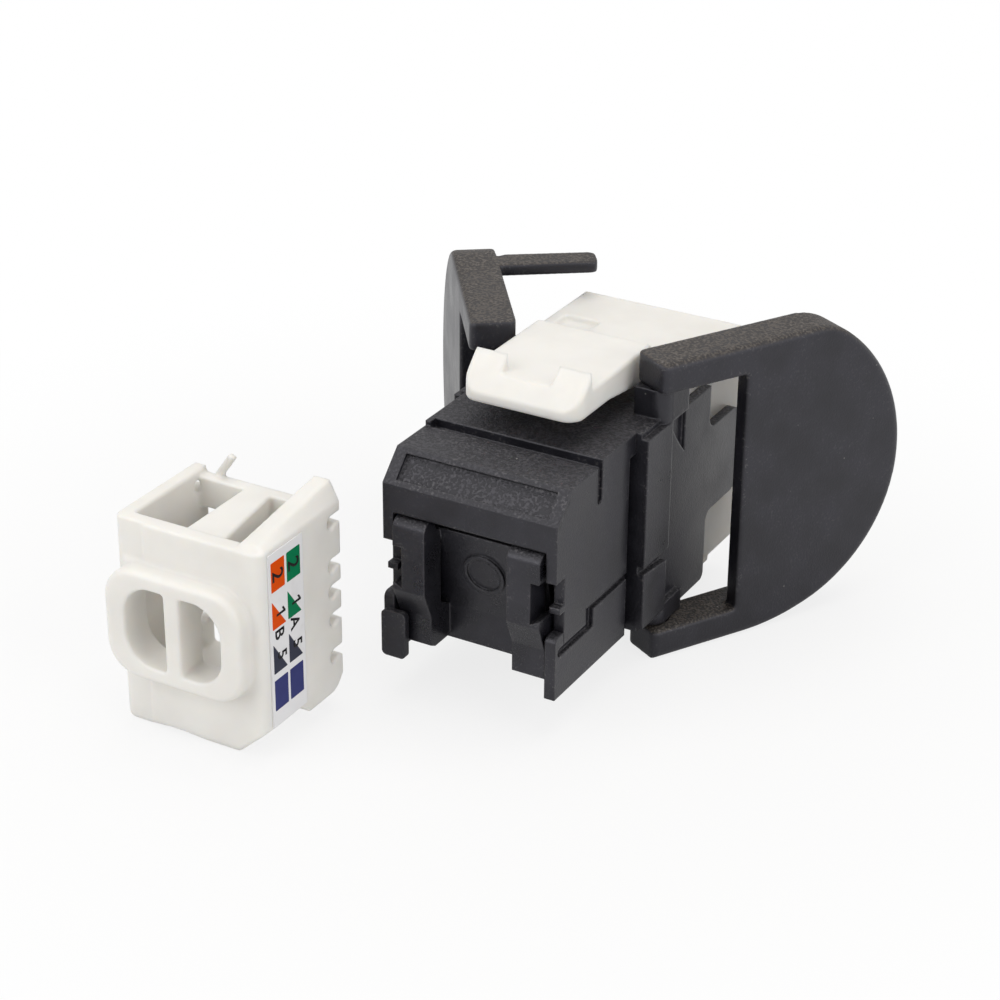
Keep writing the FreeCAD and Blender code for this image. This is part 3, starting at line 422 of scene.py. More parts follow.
@dataclass(frozen=True)
class BlackPlastic(Finish):
    """Moulded black plastic with a fine matt grain, pale edges that are partly wear and partly
    painted highlight, and a little dust.

    A band is the pair of values between which a noise climbs, and shades are factors on a colour.
    """

    name: str = "moulded_black"
    colour: Colour = (0.0098, 0.0096, 0.0128)
    # Paler colour of the dusty film on upper faces: a real film that also paints light from above
    # onto them.
    film_colour: Colour = (0.0138, 0.0132, 0.015)
    # Pale colour of edges: partly wear, partly a painted highlight along them.
    worn_and_highlit_edge_colour: Colour = (0.07, 0.068, 0.071)
    # Pale chips: partly scuffs, partly painted glints.
    scuff_and_glint_colour: Colour = (0.15, 0.144, 0.142)
    dust_colour: Colour = (0.3, 0.29, 0.27)
    sheen_tint: Colour = (0.93, 0.92, 1.0)
    gloss: float = 0.5
    roughness: float = 0.34
    cloud_roughness: float = 0.28
    grain_roughness: float = 0.14
    film_roughness: float = 0.25
    grain_size: float = 0.15 * MM
    grain_depth: float = 0.03 * MM
    relief: float = 0.6
    pit_size: float = 0.21 * MM
    pit_band: Band = (0.42, 0.6)
    # Shades of the coarse grain: painted shade in its low pits and painted glints on its raised
    # tips.
    pit_shade_and_tip_glint_shades: Band = (0.2, 2.5)
    pit_height: float = 1.9
    upper_coarseness: float = 0.65
    chip_size: float = 0.21 * MM
    chip_band: Band = (0.56, 0.68)
    chip_height: float = 0.5
    cloud_size: float = 3.2 * MM
    tone_band: Band = (0.25, 0.75)
    tone_shades: Band = (0.55, 1.5)
    film_and_top_light_band: Band = (0.2, 0.6)
    film_and_top_light_share: float = 0.85
    edge_radius: float = 0.2 * MM
    edge_turn: float = 0.16
    rim_width: float = 0.9 * MM
    rim_turn: float = 0.1
    wear_and_highlight: float = 0.55
    rubbed_and_highlit_band: Band = (0.25, 0.7)
    patch_band: Band = (0.35, 0.65)
    upper_scuffs_and_glints: float = 0.4
    stray_scuffs_and_glints: float = 0.12
    dust_spacing: float = 1.3 * MM
    dust_radius: float = 0.085 * MM
    dust_share: float = 0.2
    dust_cover: float = 0.8
    wall_dust: float = 0.5

    def coarse(self, sheet: ShaderSheet, place: Signal, upward: Signal) -> Signal:
        """How coarse the grain is: a little on faces that look up."""
        return upward * self.upper_coarseness

    def paint(self, sheet: ShaderSheet) -> None:
        """Lay out the grain with its painted shade and highlights, the edges that are partly wear
        and partly painted highlight, the film on upper faces that also paints light onto them,
        and the dust.

        Args:
            sheet: The sheet of nodes.
        """
        place = sheet.place()
        upward = sheet.facing_up()
        coarse = self.coarse(sheet, place, upward)
        grain = sheet.noise(place, self.grain_size, detail=3.0)
        cloud = sheet.noise(place, self.cloud_size, detail=4.0)
        pits = sheet.noise(place, self.pit_size).rise(*self.pit_band)
        rounded = sheet.rounded_normal(self.edge_radius)
        # Lighter edges: partly wear, partly a painted highlight where rounded edges catch the
        # light.
        rubbed_and_highlit_edges = sheet.edges(rounded, self.edge_turn) * self.wear_and_highlight * cloud.rise(*self.rubbed_and_highlit_band)
        # Pale chips near edges and on upper faces: partly scuffs, partly painted glints.
        scuffs_and_glints = self._scuffs_and_glints(sheet, place, cloud, upward)
        specks = sheet.specks(place, self.dust_spacing, self.dust_radius, self.dust_share)
        dust = specks * (self.wall_dust + (1.0 - self.wall_dust) * upward)
        tone = sheet.shade(cloud.rise(*self.tone_band), self.colour, self.tone_shades)
        # Film on faces that look up: partly dust, partly painted light from above that makes
        # upper faces lighter.
        film = upward * cloud.rise(*self.film_and_top_light_band) * self.film_and_top_light_share
        filmed_and_top_lit = sheet.mix(film, tone, self.film_colour)
        # Painted shade in the grain's low pits and painted glints on its raised tips, as the bump
        # casts no shadow.
        grain_shade_and_glints = sheet.shade(pits, self.film_colour, self.pit_shade_and_tip_glint_shades)
        # Edges turn pale here: partly wear, partly painted highlight.
        worn = sheet.mix(rubbed_and_highlit_edges, sheet.mix(coarse, filmed_and_top_lit, grain_shade_and_glints), self.worn_and_highlit_edge_colour)
        scuffed_and_glinting = sheet.mix(scuffs_and_glints, worn, self.scuff_and_glint_colour)
        uneven = cloud.swing(self.cloud_roughness) + grain.swing(self.grain_roughness)
        moulded = grain * (1.0 - coarse) + pits * self.pit_height * coarse
        height = moulded + scuffs_and_glints * self.chip_height
        sheet.surface(
            {
                "Base Color": sheet.mix(dust * self.dust_cover, scuffed_and_glinting, self.dust_colour),
                "Roughness": self.roughness + uneven + (upward + dust) * self.film_roughness,
                "Specular IOR Level": self.gloss,
                "Specular Tint": self.sheen_tint,
                "Normal": sheet.bump(height, self.grain_depth, self.relief, rounded),
            }
        )

    def _scuffs_and_glints(self, sheet: ShaderSheet, place: Signal, cloud: Signal, upward: Signal) -> Signal:
        """Small pale chips, most of them near edges: partly scuffs, partly painted glints.

        Args:
            sheet: The sheet of nodes.
            place: Where the surface lies.
            cloud: Slow variation that gathers the chips in patches.
            upward: How far the surface looks up.

        Returns:
            One on a chip, nought elsewhere.
        """
        chips = sheet.noise(place, self.chip_size, detail=3.0).rise(*self.chip_band)
        rim = sheet.edges(sheet.rounded_normal(self.rim_width), self.rim_turn)
        exposed = (rim + upward * self.upper_scuffs_and_glints + self.stray_scuffs_and_glints).at_most(1.0)
        return chips * cloud.rise(*self.patch_band) * self.wear_and_highlight * exposed


@dataclass(frozen=True)
class NameplatePlastic(BlackPlastic):
    """The same black plastic, with a coarse grain in the sloped nameplate recess, painted dark in
    its pits and light on its tips.
    """

    name: str = "moulded_black_nameplate"
    floor_offset: float = 13.7 * MM
    floor_play: float = 0.16 * MM
    floor_middle: float = 1.25 * MM
    floor_reach: float = 0.98 * MM

    def coarse(self, sheet: ShaderSheet, place: Signal, upward: Signal) -> Signal:
        """How coarse the grain is: in full on the recess's floor.

        Args:
            sheet: The sheet of nodes.
            place: Where the surface lies.
            upward: How far the surface looks up.

        Returns:
            One on the recess's floor, a little on upper faces, nought elsewhere.
        """
        depth = sheet.along(place, "Y")
        lift = sheet.along(place, "Z") - depth
        on_slope = abs(lift - self.floor_offset) < self.floor_play
        recess = on_slope * (abs(depth - self.floor_middle) < self.floor_reach)
        return recess.at_least(super().coarse(sheet, place, upward))


@dataclass(frozen=True)
class WhitePlastic(Finish):
    """Moulded white plastic, satin and a little translucent."""

    name: str = "moulded_white"
    colour: Colour = (0.825, 0.81, 0.775)
    shade_colour: Colour = (0.735, 0.715, 0.675)
    gloss: float = 0.45
    roughness: float = 0.4
    flow_roughness: float = 0.2
    grain_roughness: float = 0.08
    grain_size: float = 0.16 * MM
    grain_depth: float = 0.008 * MM
    grain_share: float = 0.7
    relief: float = 0.5
    flow_size: float = 1.6 * MM
    flow_stretch: Place = (1.0, 1.0, 0.25)
    cloud_size: float = 4.5 * MM
    cloud_band: Band = (0.3, 0.75)
    cloud_share: float = 0.55
    edge_radius: float = 0.3 * MM
    edge_turn: float = 0.2
    # Edges of the white plastic are painted a little lighter: a painted highlight.
    edge_highlight_shade: float = 1.05
    edge_share: float = 0.5
    speck_spacing: float = 1.9 * MM
    speck_radius: float = 0.05 * MM
    speck_share: float = 0.12
    speck_shade: float = 0.5
    speck_cover: float = 0.35
    glow_share: float = 0.35
    glow_reach: Colour = (1.0, 0.82, 0.6)
    glow_depth: float = 1.2 * MM

    def paint(self, sheet: ShaderSheet) -> None:
        """Lay out the satin grain, the flow marks, the painted highlight on edges and a few
        specks.

        Args:
            sheet: The sheet of nodes.
        """
        place = sheet.place()
        grain = sheet.noise(place, self.grain_size)
        cloud = sheet.noise(place, self.cloud_size, detail=4.0)
        flow = sheet.noise(sheet.stretch(place, self.flow_stretch), self.flow_size, detail=3.0)
        rounded = sheet.rounded_normal(self.edge_radius)
        # Painted highlight: edges a little lighter than the faces.
        edge = sheet.edges(rounded, self.edge_turn) * self.edge_share
        shaded = cloud.rise(*self.cloud_band) * self.cloud_share
        tone = sheet.mix(shaded, self.colour, self.shade_colour)
        edge_highlit_tone = sheet.mix(edge, tone, scaled(self.colour, self.edge_highlight_shade))
        specks = sheet.specks(place, self.speck_spacing, self.speck_radius, self.speck_share)
        speck_colour = scaled(self.shade_colour, self.speck_shade)
        uneven = flow.swing(self.flow_roughness) + grain.swing(self.grain_roughness)
        height = grain * self.grain_share + flow * (1.0 - self.grain_share)
        sheet.surface(
            {
                "Base Color": sheet.mix(specks * self.speck_cover, edge_highlit_tone, speck_colour),
                "Roughness": self.roughness + uneven,
                "Specular IOR Level": self.gloss,
                "Subsurface Weight": self.glow_share,
                "Subsurface Radius": self.glow_reach,
                "Subsurface Scale": self.glow_depth,
                "Normal": sheet.bump(height, self.grain_depth, self.relief, rounded),
            }
        )


@dataclass(frozen=True)
class PlatedMetal(Finish):
    """Thin plated metal with fine drawn scratches."""

    name: str
    colour: Colour
    dull_colour: Colour
    roughness: float
    drawn_along: Place
    scratch_roughness: float = 0.2
    patch_roughness: float = 0.12
    scratch_width: float = 0.05 * MM
    scratch_depth: float = 0.004 * MM
    relief: float = 0.5
    patch_size: float = 0.9 * MM
    patch_band: Band = (0.4, 0.75)
    edge_radius: float = 0.05 * MM

    def paint(self, sheet: ShaderSheet) -> None:
        """Lay out the plating, its dull patches and its scratches.

        Args:
            sheet: The sheet of nodes.
        """
        place = sheet.place()
        patches = sheet.noise(place, self.patch_size, detail=3.0)
        drawn = sheet.noise(sheet.stretch(place, self.drawn_along), self.scratch_width)
        rounded = sheet.rounded_normal(self.edge_radius)
        uneven = drawn.swing(self.scratch_roughness) + patches.swing(self.patch_roughness)
        sheet.surface(
            {
                "Base Color": sheet.mix(
                    patches.rise(*self.patch_band), self.colour, self.dull_colour
                ),
                "Metallic": 1.0,
                "Roughness": self.roughness + uneven,
                "Normal": sheet.bump(drawn, self.scratch_depth, self.relief, rounded),
            }
        )


@dataclass(frozen=True)
class SolderMask(Finish):
    """Green lacquered circuit board with copper tracks under the lacquer."""

    name: str = "board_lacquer"
    colour: Colour = (0.012, 0.085, 0.034)
    track_colour: Colour = (0.03, 0.17, 0.06)
    roughness: float = 0.3
    mottle_roughness: float = 0.2
    lacquer: float = 0.3
    mottle_size: float = 0.5 * MM
    mottle_shades: Band = (0.8, 1.2)
    track_spacing: float = 0.95 * MM
    wave_length: float = 0.3
    track_wander: float = 3.0
    track_band: Band = (0.62, 0.72)
    track_rise: float = 0.02 * MM
    relief: float = 0.6
    edge_radius: float = 0.06 * MM

    def paint(self, sheet: ShaderSheet) -> None:
        """Lay out the tracks, the lacquer's mottling and its gloss.

        Args:
            sheet: The sheet of nodes.
        """
        place = sheet.place()
        mottle = sheet.noise(place, self.mottle_size, detail=3.0)
        bands = sheet.read(
            "ShaderNodeTexWave",
            {"wave_type": "BANDS", "bands_direction": "DIAGONAL"},
            {
                "Vector": place,
                "Scale": self.wave_length / self.track_spacing,
                "Distortion": self.track_wander,
                "Detail": 0.0,
            },
            "Fac",
        )
        tracks = bands.rise(*self.track_band)
        rounded = sheet.rounded_normal(self.edge_radius)
        tone = sheet.shade(mottle, self.colour, self.mottle_shades)
        sheet.surface(
            {
                "Base Color": sheet.mix(tracks, tone, self.track_colour),
                "Roughness": self.roughness + mottle.swing(self.mottle_roughness),
                "Coat Weight": self.lacquer,
                "Normal": sheet.bump(tracks, self.track_rise, self.relief, rounded),
            }
        )


@dataclass(frozen=True)
class LabelFilm(Finish):
    """White film of a stuck-on label, with a fibrous sheen and grubby edges."""

    name: str = "label_film"
    colour: Colour = (0.83, 0.825, 0.84)
    grubby_colour: Colour = (0.66, 0.645, 0.63)
    roughness: float = 0.42
    fibre_roughness: float = 0.25
    fibre_width: float = 0.12 * MM
    fibre_stretch: Place = (1.0, 1.0, 0.4)
    fibre_depth: float = 0.004 * MM
    relief: float = 0.5
    grime_size: float = 2.0 * MM
    grime_band: Band = (0.55, 0.85)
    grime_share: float = 0.5
    edge_radius: float = 0.05 * MM
    edge_turn: float = 0.2
    edge_share: float = 0.8

    def paint(self, sheet: ShaderSheet) -> None:
        """Lay out the film's fibres and its grubby edges.

        Args:
            sheet: The sheet of nodes.
        """
        place = sheet.place()
        fibre = sheet.noise(
            sheet.stretch(place, self.fibre_stretch), self.fibre_width, detail=3.0
        )
        patches = sheet.noise(place, self.grime_size, detail=3.0).rise(*self.grime_band)
        rounded = sheet.rounded_normal(self.edge_radius)
        edge = sheet.edges(rounded, self.edge_turn)
        grime = (edge * self.edge_share + patches * self.grime_share).at_most(1.0)
        sheet.surface(
            {
                "Base Color": sheet.mix(grime, self.colour, self.grubby_colour),
                "Roughness": self.roughness + fibre.swing(self.fibre_roughness),
                "Normal": sheet.bump(fibre, self.fibre_depth, self.relief, rounded),
            }
        )


@dataclass(frozen=True)
class PrintingInk(Finish):
    """Printed ink with a fine mottle and tiny gaps where the film shows through."""

    name: str
    colour: Colour
    film_colour: Colour = (0.7, 0.69, 0.68)
    gloss: float = 0.05
    roughness: float = 0.42
    mottle_roughness: float = 0.2
    mottle_size: float = 0.09 * MM
    mottle_share: float = 0.5
    mottle_shades: Band = (0.82, 1.16)
    mottle_depth: float = 0.003 * MM
    relief: float = 0.4
    cloud_size: float = 0.8 * MM
    pinhole_spacing: float = 0.5 * MM
    pinhole_radius: float = 0.025 * MM
    pinhole_share: float = 0.2
    pinhole_cover: float = 0.7

    def paint(self, sheet: ShaderSheet) -> None:
        """Lay out the mottled ink and its pinholes.

        Args:
            sheet: The sheet of nodes.
        """
        place = sheet.place()
        mottle = sheet.noise(place, self.mottle_size)
        cloud = sheet.noise(place, self.cloud_size)
        pinholes = sheet.specks(
            place, self.pinhole_spacing, self.pinhole_radius, self.pinhole_share
        )
        patchy = mottle * self.mottle_share + cloud * (1.0 - self.mottle_share)
        tone = sheet.shade(patchy, self.colour, self.mottle_shades)
        flat = sheet.face_normal()
        sheet.surface(
            {
                "Base Color": sheet.mix(pinholes * self.pinhole_cover, tone, self.film_colour),
                "Roughness": self.roughness + mottle.swing(self.mottle_roughness),
                "Specular IOR Level": self.gloss,
                "Normal": sheet.bump(mottle, self.mottle_depth, self.relief, flat),
            }
        )


@dataclass(frozen=True)
class Moulding:
    """How a mould leaves a piece: its edges rounded by smoothing a fine skin, its flats plain."""

    skin_cell: float = 0.12 * MM
    smoothing: float = 0.5
    passes: int = 10
    kept_share: float = 0.14
    weld_gap: float = 0.001 * MM
    flat_weight: int = 90

    def round_off(self, piece: bpy.types.Object) -> None:
        """Give a piece the modifiers that weld it, skin it, round it and thin out its flats.

        Args:
            piece: The piece, with a closed mesh.
        """
        weld = piece.modifiers.new("weld", "WELD")
        weld.merge_threshold = self.weld_gap
        skin = piece.modifiers.new("skin", "REMESH")
        skin.mode = "VOXEL"
        skin.voxel_size = self.skin_cell
        skin.use_smooth_shade = True
        rounding = piece.modifiers.new("rounding", "SMOOTH")
        rounding.factor = self.smoothing
        rounding.iterations = self.passes
        flats = piece.modifiers.new("flats", "DECIMATE")
        flats.decimate_type = "COLLAPSE"
        flats.ratio = self.kept_share
        shading = piece.modifiers.new("shading", "WEIGHTED_NORMAL")
        shading.weight = self.flat_weight


class Bench:
    """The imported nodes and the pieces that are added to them."""

    def __init__(self, nodes: Mapping[str, bpy.types.Object]) -> None:
        """Keep the nodes by name."""
        self.nodes = dict(nodes)

    def dress(self, names: Sequence[str], finish: Finish) -> None:
        """Give nodes a finish.

        Args:
            names: The nodes' names.
            finish: What they are made of.
        """
        for name in names:
            node = self.nodes[name]
            if not node.material_slots:
                node.data.materials.append(finish.material())
            for holder in node.material_slots:
                holder.material = finish.material()
            LOG.info("%s dressed in %s", name, finish.name)

    def add(
        self, name: str, shape: bmesh.types.BMesh, finish: Finish, body: Body, slot: Slot
    ) -> None:
        """Turn a shape into a piece that rides on a body.

        Args:
            name: The piece's name.
            shape: Its shape, in metres, which is used up.
            finish: What it is made of.
            body: The body that carries it.
            slot: Not used.
        """
        mesh = bpy.data.meshes.new(name)
        shape.to_mesh(mesh)
        shape.free()
        mesh.materials.append(finish.material())
        piece = bpy.data.objects.new(name, mesh)
        bpy.context.scene.collection.objects.link(piece)
        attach(piece, body.value)
        LOG.info("%s added on %s with %d faces", name, body.value, len(mesh.polygons))

    def soften(
        self, node: str, moulding: Moulding, finish: Finish, body: Body
    ) -> None:
        """Let a copy with rounded edges stand in for a node.

        Args:
            node: The node's name.
            moulding: How its edges are rounded.
            finish: What it is made of.
            body: The body that carries it.
        """
        name = f"{node}_moulding"
        sharp = self.nodes[node].data.copy()
        piece = bpy.data.objects.new(name, sharp)
        bpy.context.scene.collection.objects.link(piece)
        moulding.round_off(piece)
        bpy.context.view_layer.update()
        graph = bpy.context.evaluated_depsgraph_get()
        mesh = bpy.data.meshes.new_from_object(
            piece.evaluated_get(graph), preserve_all_data_layers=True, depsgraph=graph
        )
        mesh.name = name
        mesh.materials.clear()
        mesh.materials.append(finish.material())
        piece.modifiers.clear()
        piece.data = mesh
        bpy.data.meshes.remove(sharp)
        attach(piece, body.value)
        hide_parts(node)
        LOG.info("%s stands for %s with %d faces", name, node, len(mesh.polygons))


@dataclass
class PortHousing:
    """Black front housing around the port, in two mouldings."""

    upper: str = "upper_housing"
    lower: str = "lower_housing"

    def build(self, bench: Bench) -> None:
        """Dress the two mouldings."""
        bench.dress([self.upper], NameplatePlastic())
        bench.dress([self.lower], BlackPlastic())


@dataclass
class PortShutter:
    """Black flap that closes the port."""

    flap: str = "port_shutter"

    def build(self, bench: Bench) -> None:
        """Dress the flap in a slightly shinier black."""
        finish = BlackPlastic(name="moulded_black_shutter", roughness=0.31, dust_share=0.1)
        bench.dress([self.flap], finish)


@dataclass
class ContactSet:
    """Spring contacts of the port, with what holds and joins them."""

    ways: int = 8
    carrier: str = "contact_carrier"
    board: str = "circuit_board"

    def build(self, bench: Bench) -> None:
        """Dress the carrier, the gold contacts and the board.

        Args:
            bench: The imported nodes.
        """
        gold = PlatedMetal(
            name="contact_gold",
            colour=(0.83, 0.6, 0.24),
            dull_colour=(0.7, 0.47, 0.16),
            roughness=0.24,
            drawn_along=(1.0, 0.08, 0.3),
        )
        bench.dress([self.carrier], BlackPlastic())
        bench.dress([f"contact_{way + 1}" for way in range(self.ways)], gold)
        bench.dress([self.board], SolderMask())


@dataclass
class TerminalSet:
    """Wire terminals of the rear bay and the block that holds them."""

    ways: int = 8
    block: str = "terminal_block"

    def build(self, bench: Bench) -> None:
        """Dress the block and the tinned terminals.

        Args:
            bench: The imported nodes.
        """
        tin = PlatedMetal(
            name="terminal_tin",
            colour=(0.72, 0.715, 0.7),
            dull_colour=(0.5, 0.49, 0.47),
            roughness=0.32,
            drawn_along=(1.0, 0.1, 1.0),
        )
        bench.dress([self.block], BlackPlastic())
        bench.dress([f"terminal_{way + 1}" for way in range(self.ways)], tin)


@dataclass
class RearBay:
    """Black rear housing and the white frame that is pushed over it."""

    housing: str = "rear_housing"
    frame: str = "rear_frame"

    def build(self, bench: Bench) -> None:
        """Dress the housing and round off the frame."""
        bench.dress([self.housing], BlackPlastic())
        bench.soften(self.frame, Moulding(), WhitePlastic(), Body.JACK)


@dataclass
class SqueezeLevers:
    """Two black levers that press the wires home."""

    right: str = "right_lever"
    left: str = "left_lever"

    def build(self, bench: Bench) -> None:
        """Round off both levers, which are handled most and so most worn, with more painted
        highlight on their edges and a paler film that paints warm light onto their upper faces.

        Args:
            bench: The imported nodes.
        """
        finish = BlackPlastic(
            name="moulded_black_lever",
            # A warmer, paler film: dust film on the upper faces that also paints warm light onto
            # them.
            film_colour=(0.03, 0.0245, 0.0185),
            edge_radius=0.45 * MM,
            roughness=0.38,
            # More wear, with more painted highlight on edges and more painted glints among the
            # chips.
            wear_and_highlight=0.8,
            dust_share=0.3,
        )
        bench.soften(self.right, Moulding(), finish, Body.RIGHT_LEVER)
        bench.soften(self.left, Moulding(), finish, Body.LEFT_LEVER)


@dataclass
class WireManager:
    """White block that lays the wires out."""

    block: str = "wire_manager"

    def build(self, bench: Bench) -> None:
        """Round off the block."""
        bench.soften(self.block, Moulding(), WhitePlastic(), Body.JACK)


class Mark(Enum):
    """Shapes of a colour mark: a full block for a plain wire, half a block for a striped one."""

    FULL = "full"
    HALF = "half"


@dataclass(frozen=True)
class ColourMark:
    """One colour mark of the label: its shape, column and height range, and its figure."""

    shape: Mark
    column: int
    top: float
    bottom: float
    figure: str


@dataclass
class WiringLabel:
    """Label on the wire manager with two columns of colour marks, one for each wiring order."""

    film: str = "wiring_label"
    front_column: float = -12.22 * MM
    back_column: float = -10.26 * MM
    column_width: float = 1.68 * MM
    corner: float = 0.09 * MM
    corner_steps: int = 5
    ink_rise: float = 0.012 * MM
    figure_rise: float = 0.02 * MM
    figure_height: float = 1.35 * MM
    figure_steps: int = 4
    figure_colour: Colour = (0.018, 0.017, 0.018)
    figure_gap_colour: Colour = (0.1, 0.1, 0.1)
    half_figure_size: float = 0.82
    half_figure_shift: float = 0.14
    orders: str = "BA"
    letter_height: float = 1.1 * MM
    letter_level: float = 6.66 * MM
    boldness: float = 0.014
    one_outline: tuple[Point, ...] = (
        (0.0, 0.0),
        (0.17, 0.0),
        (0.17, 1.0),
        (0.04, 1.0),
        (-0.26, 0.8),
        (-0.26, 0.62),
        (0.0, 0.78),
    )

    def build(self, bench: Bench) -> None:
        """Dress the film and print on it.

        Args:
            bench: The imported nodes.
        """
        bench.dress([self.film], LabelFilm())
        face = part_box(self.film)[1].x
        figures = bmesh.new()
        for name, (colour, marks) in self._print_plan().items():
            shape = bmesh.new()
            for mark in marks:
                self._add_block(shape, self._outline(mark), face)
                if mark.figure:
                    self._add_mark_figure(figures, mark, face)
            ink = PrintingInk(name=f"ink_{name}", colour=colour)
            bench.add(f"label_print_{name}", shape, ink, Body.JACK, Slot.LABEL)
        for column, letter in enumerate(self.orders):
            middle = self._column_middle(column)
            self._add_figure(figures, letter, self.letter_height, middle, self.letter_level, face)
        ink = PrintingInk("ink_figures", self.figure_colour, self.figure_gap_colour)
        bench.add("label_print_figures", figures, ink, Body.JACK, Slot.LABEL)

    @staticmethod
    def _print_plan() -> dict[str, tuple[Colour, list[ColourMark]]]:
        """Colour marks by ink: the front column is order B, the back column order A.

        Returns:
            The inks by name, each with its colour and its marks.
        """
        upper_full = (12.6 * MM, 10.25 * MM)
        upper_half = (9.55 * MM, 7.25 * MM)
        lower_half = (6.08 * MM, 3.66 * MM)
        lower_full = (3.1 * MM, 0.6 * MM)
        return {
            "orange": (
                (0.72, 0.078, 0.004),
                [
                    ColourMark(Mark.FULL, 0, *upper_full, "2"),
                    ColourMark(Mark.HALF, 0, *upper_half, "1"),
                ],
            ),
            "green": (
                (0.004, 0.18, 0.072),
                [
                    ColourMark(Mark.FULL, 1, *upper_full, "2"),
                    ColourMark(Mark.HALF, 1, *upper_half, "1"),
                ],
            ),
            "slate": (
                (0.042, 0.045, 0.07),
                [ColourMark(Mark.HALF, column, *lower_half, "5") for column in (0, 1)],
            ),
            "blue": (
                (0.04, 0.046, 0.17),
                [ColourMark(Mark.FULL, column, *lower_full, "") for column in (0, 1)],
            ),
        }

    def _column_start(self, column: int) -> float:
        """Front edge of a column."""
        return self.back_column if column else self.front_column

    def _column_middle(self, column: int) -> float:
        """Middle of a column."""
        return self._column_start(column) + 0.5 * self.column_width

    def _outline(self, mark: ColourMark) -> list[Point]:
        """Outline of a colour mark with rounded corners.

        Args:
            mark: The colour mark.

        Returns:
            Points along and up the label, anticlockwise seen from outside.
        """
        front = self._column_start(mark.column)
        back = front + self.column_width
        corners = [(front, mark.top), (front, mark.bottom), (back, mark.bottom)]
        if mark.shape is Mark.FULL:
            corners.append((back, mark.top))
        points: list[Point] = []
        for index, here in enumerate(corners):
            before = corners[index - 1]
            after = corners[(index + 1) % len(corners)]
            points.extend(self._rounded_corner(before, here, after))
        return points

    def _rounded_corner(self, before: Point, here: Point, after: Point) -> list[Point]:
        """Points that round off one corner.

        Args:
            before: The corner before it.
            here: The corner itself.
            after: The corner after it.

        Returns:
            Points along a smooth bend near the corner.
        """
        tip = Vector(here)
        start = tip + (Vector(before) - tip).normalized() * self.corner
        end = tip + (Vector(after) - tip).normalized() * self.corner
        points: list[Point] = []
        for step in range(self.corner_steps + 1):
            share = step / self.corner_steps
            point = start.lerp(tip, share).lerp(tip.lerp(end, share), share)
            points.append((point.x, point.y))
        return points

    def _add_block(self, shape: bmesh.types.BMesh, outline: Sequence[Point], face: float) -> None:
        """Add a thin raised block of ink.

        Args:
            shape: The shape that it joins.
            outline: Its outline along and up the label.
            face: Where the label's face lies.
        """
        level = face + self.ink_rise
        top = shape.faces.new([shape.verts.new((level, along, up)) for along, up in outline])
        self._thicken(shape, [top], self.ink_rise)

    @staticmethod
    def _thicken(
        shape: bmesh.types.BMesh, tops: Sequence[bmesh.types.BMFace], depth: float
    ) -> None:
        """Turn flat faces into thin closed bodies that reach back to the label.

        Args:
            shape: The shape that holds the faces.
            tops: The faces, which stay where they are.
            depth: How far the bodies reach back.
        """
        grown = bmesh.ops.extrude_face_region(shape, geom=list(tops), use_keep_orig=True)
        backs = [item for item in grown["geom"] if isinstance(item, bmesh.types.BMVert)]
        bmesh.ops.translate(shape, vec=(-depth, 0.0, 0.0), verts=backs)
        bmesh.ops.recalc_face_normals(shape, faces=shape.faces)

    def _add_mark_figure(self, shape: bmesh.types.BMesh, mark: ColourMark, face: float) -> None:
        """Add the figure of a colour mark: in a full mark's middle, or on a half mark's slope.

        Args:
            shape: The shape that it joins.
            mark: The colour mark.
            face: Where the label's face lies.
        """
        middle = self._column_middle(mark.column)
        level = 0.5 * (mark.top + mark.bottom)
        height = self.figure_height
        if mark.shape is Mark.HALF:
            middle += self.half_figure_shift * self.column_width
            height *= self.half_figure_size
        self._add_figure(shape, mark.figure, height, middle, level, face)

    def _add_figure(
        self,
        shape: bmesh.types.BMesh,
        text: str,
        height: float,
        along: float,
        up: float,
        face: float,
    ) -> None:
        """Add a figure that is read from the top of the label down.

        Args:
            shape: The shape that it joins.
            text: The figure.
            height: Its height.
            along: Its middle along the label.
            up: Its middle up the label.
            face: Where the label's face lies.
        """
        mesh = self._drawn_one() if text == "1" else self._set_figure(text)
        spots = [vertex.co for vertex in mesh.vertices]
        left, right = (pick(spot.x for spot in spots) for pick in (min, max))
        low, high = (pick(spot.y for spot in spots) for pick in (min, max))
        size = height / (high - low)
        centred = Matrix.Translation((-0.5 * (left + right), -0.5 * (low + high), 0.0))
        turned = Matrix(((0.0, 0.0, 1.0), (0.0, 1.0, 0.0), (-1.0, 0.0, 0.0))).to_4x4()
        placed = Matrix.Translation((face + self.figure_rise, along, up))
        mesh.transform(placed @ turned @ Matrix.Scale(size, 4) @ centred)
        earlier = len(shape.faces)
        shape.from_mesh(mesh)
        bpy.data.meshes.remove(mesh)
        shape.faces.ensure_lookup_table()
        self._thicken(shape, shape.faces[earlier:], self.figure_rise)

    def _drawn_one(self) -> bpy.types.Mesh:
        """Draw the figure 1 with a plain flag.

        Returns:
            The figure as a flat mesh.
        """
        mesh = bpy.data.meshes.new("figure")
        corners = [(across, up, 0.0) for across, up in self.one_outline]
        mesh.from_pydata(corners, [], [list(range(len(corners)))])
        return mesh

    def _set_figure(self, text: str) -> bpy.types.Mesh:
        """Set a figure in the plain built-in type.

        Args:
            text: The figure.

        Returns:
            The figure as a flat mesh.
        """
        line = bpy.data.curves.new("figure", "FONT")
        line.body = text
        line.resolution_u = self.figure_steps
        line.offset = self.boldness
        holder = bpy.data.objects.new("figure", line)
        bpy.context.scene.collection.objects.link(holder)
        bpy.context.view_layer.update()
        graph = bpy.context.evaluated_depsgraph_get()
        mesh = bpy.data.meshes.new_from_object(holder.evaluated_get(graph))
        bpy.data.objects.remove(holder)
        bpy.data.curves.remove(line)
        return mesh


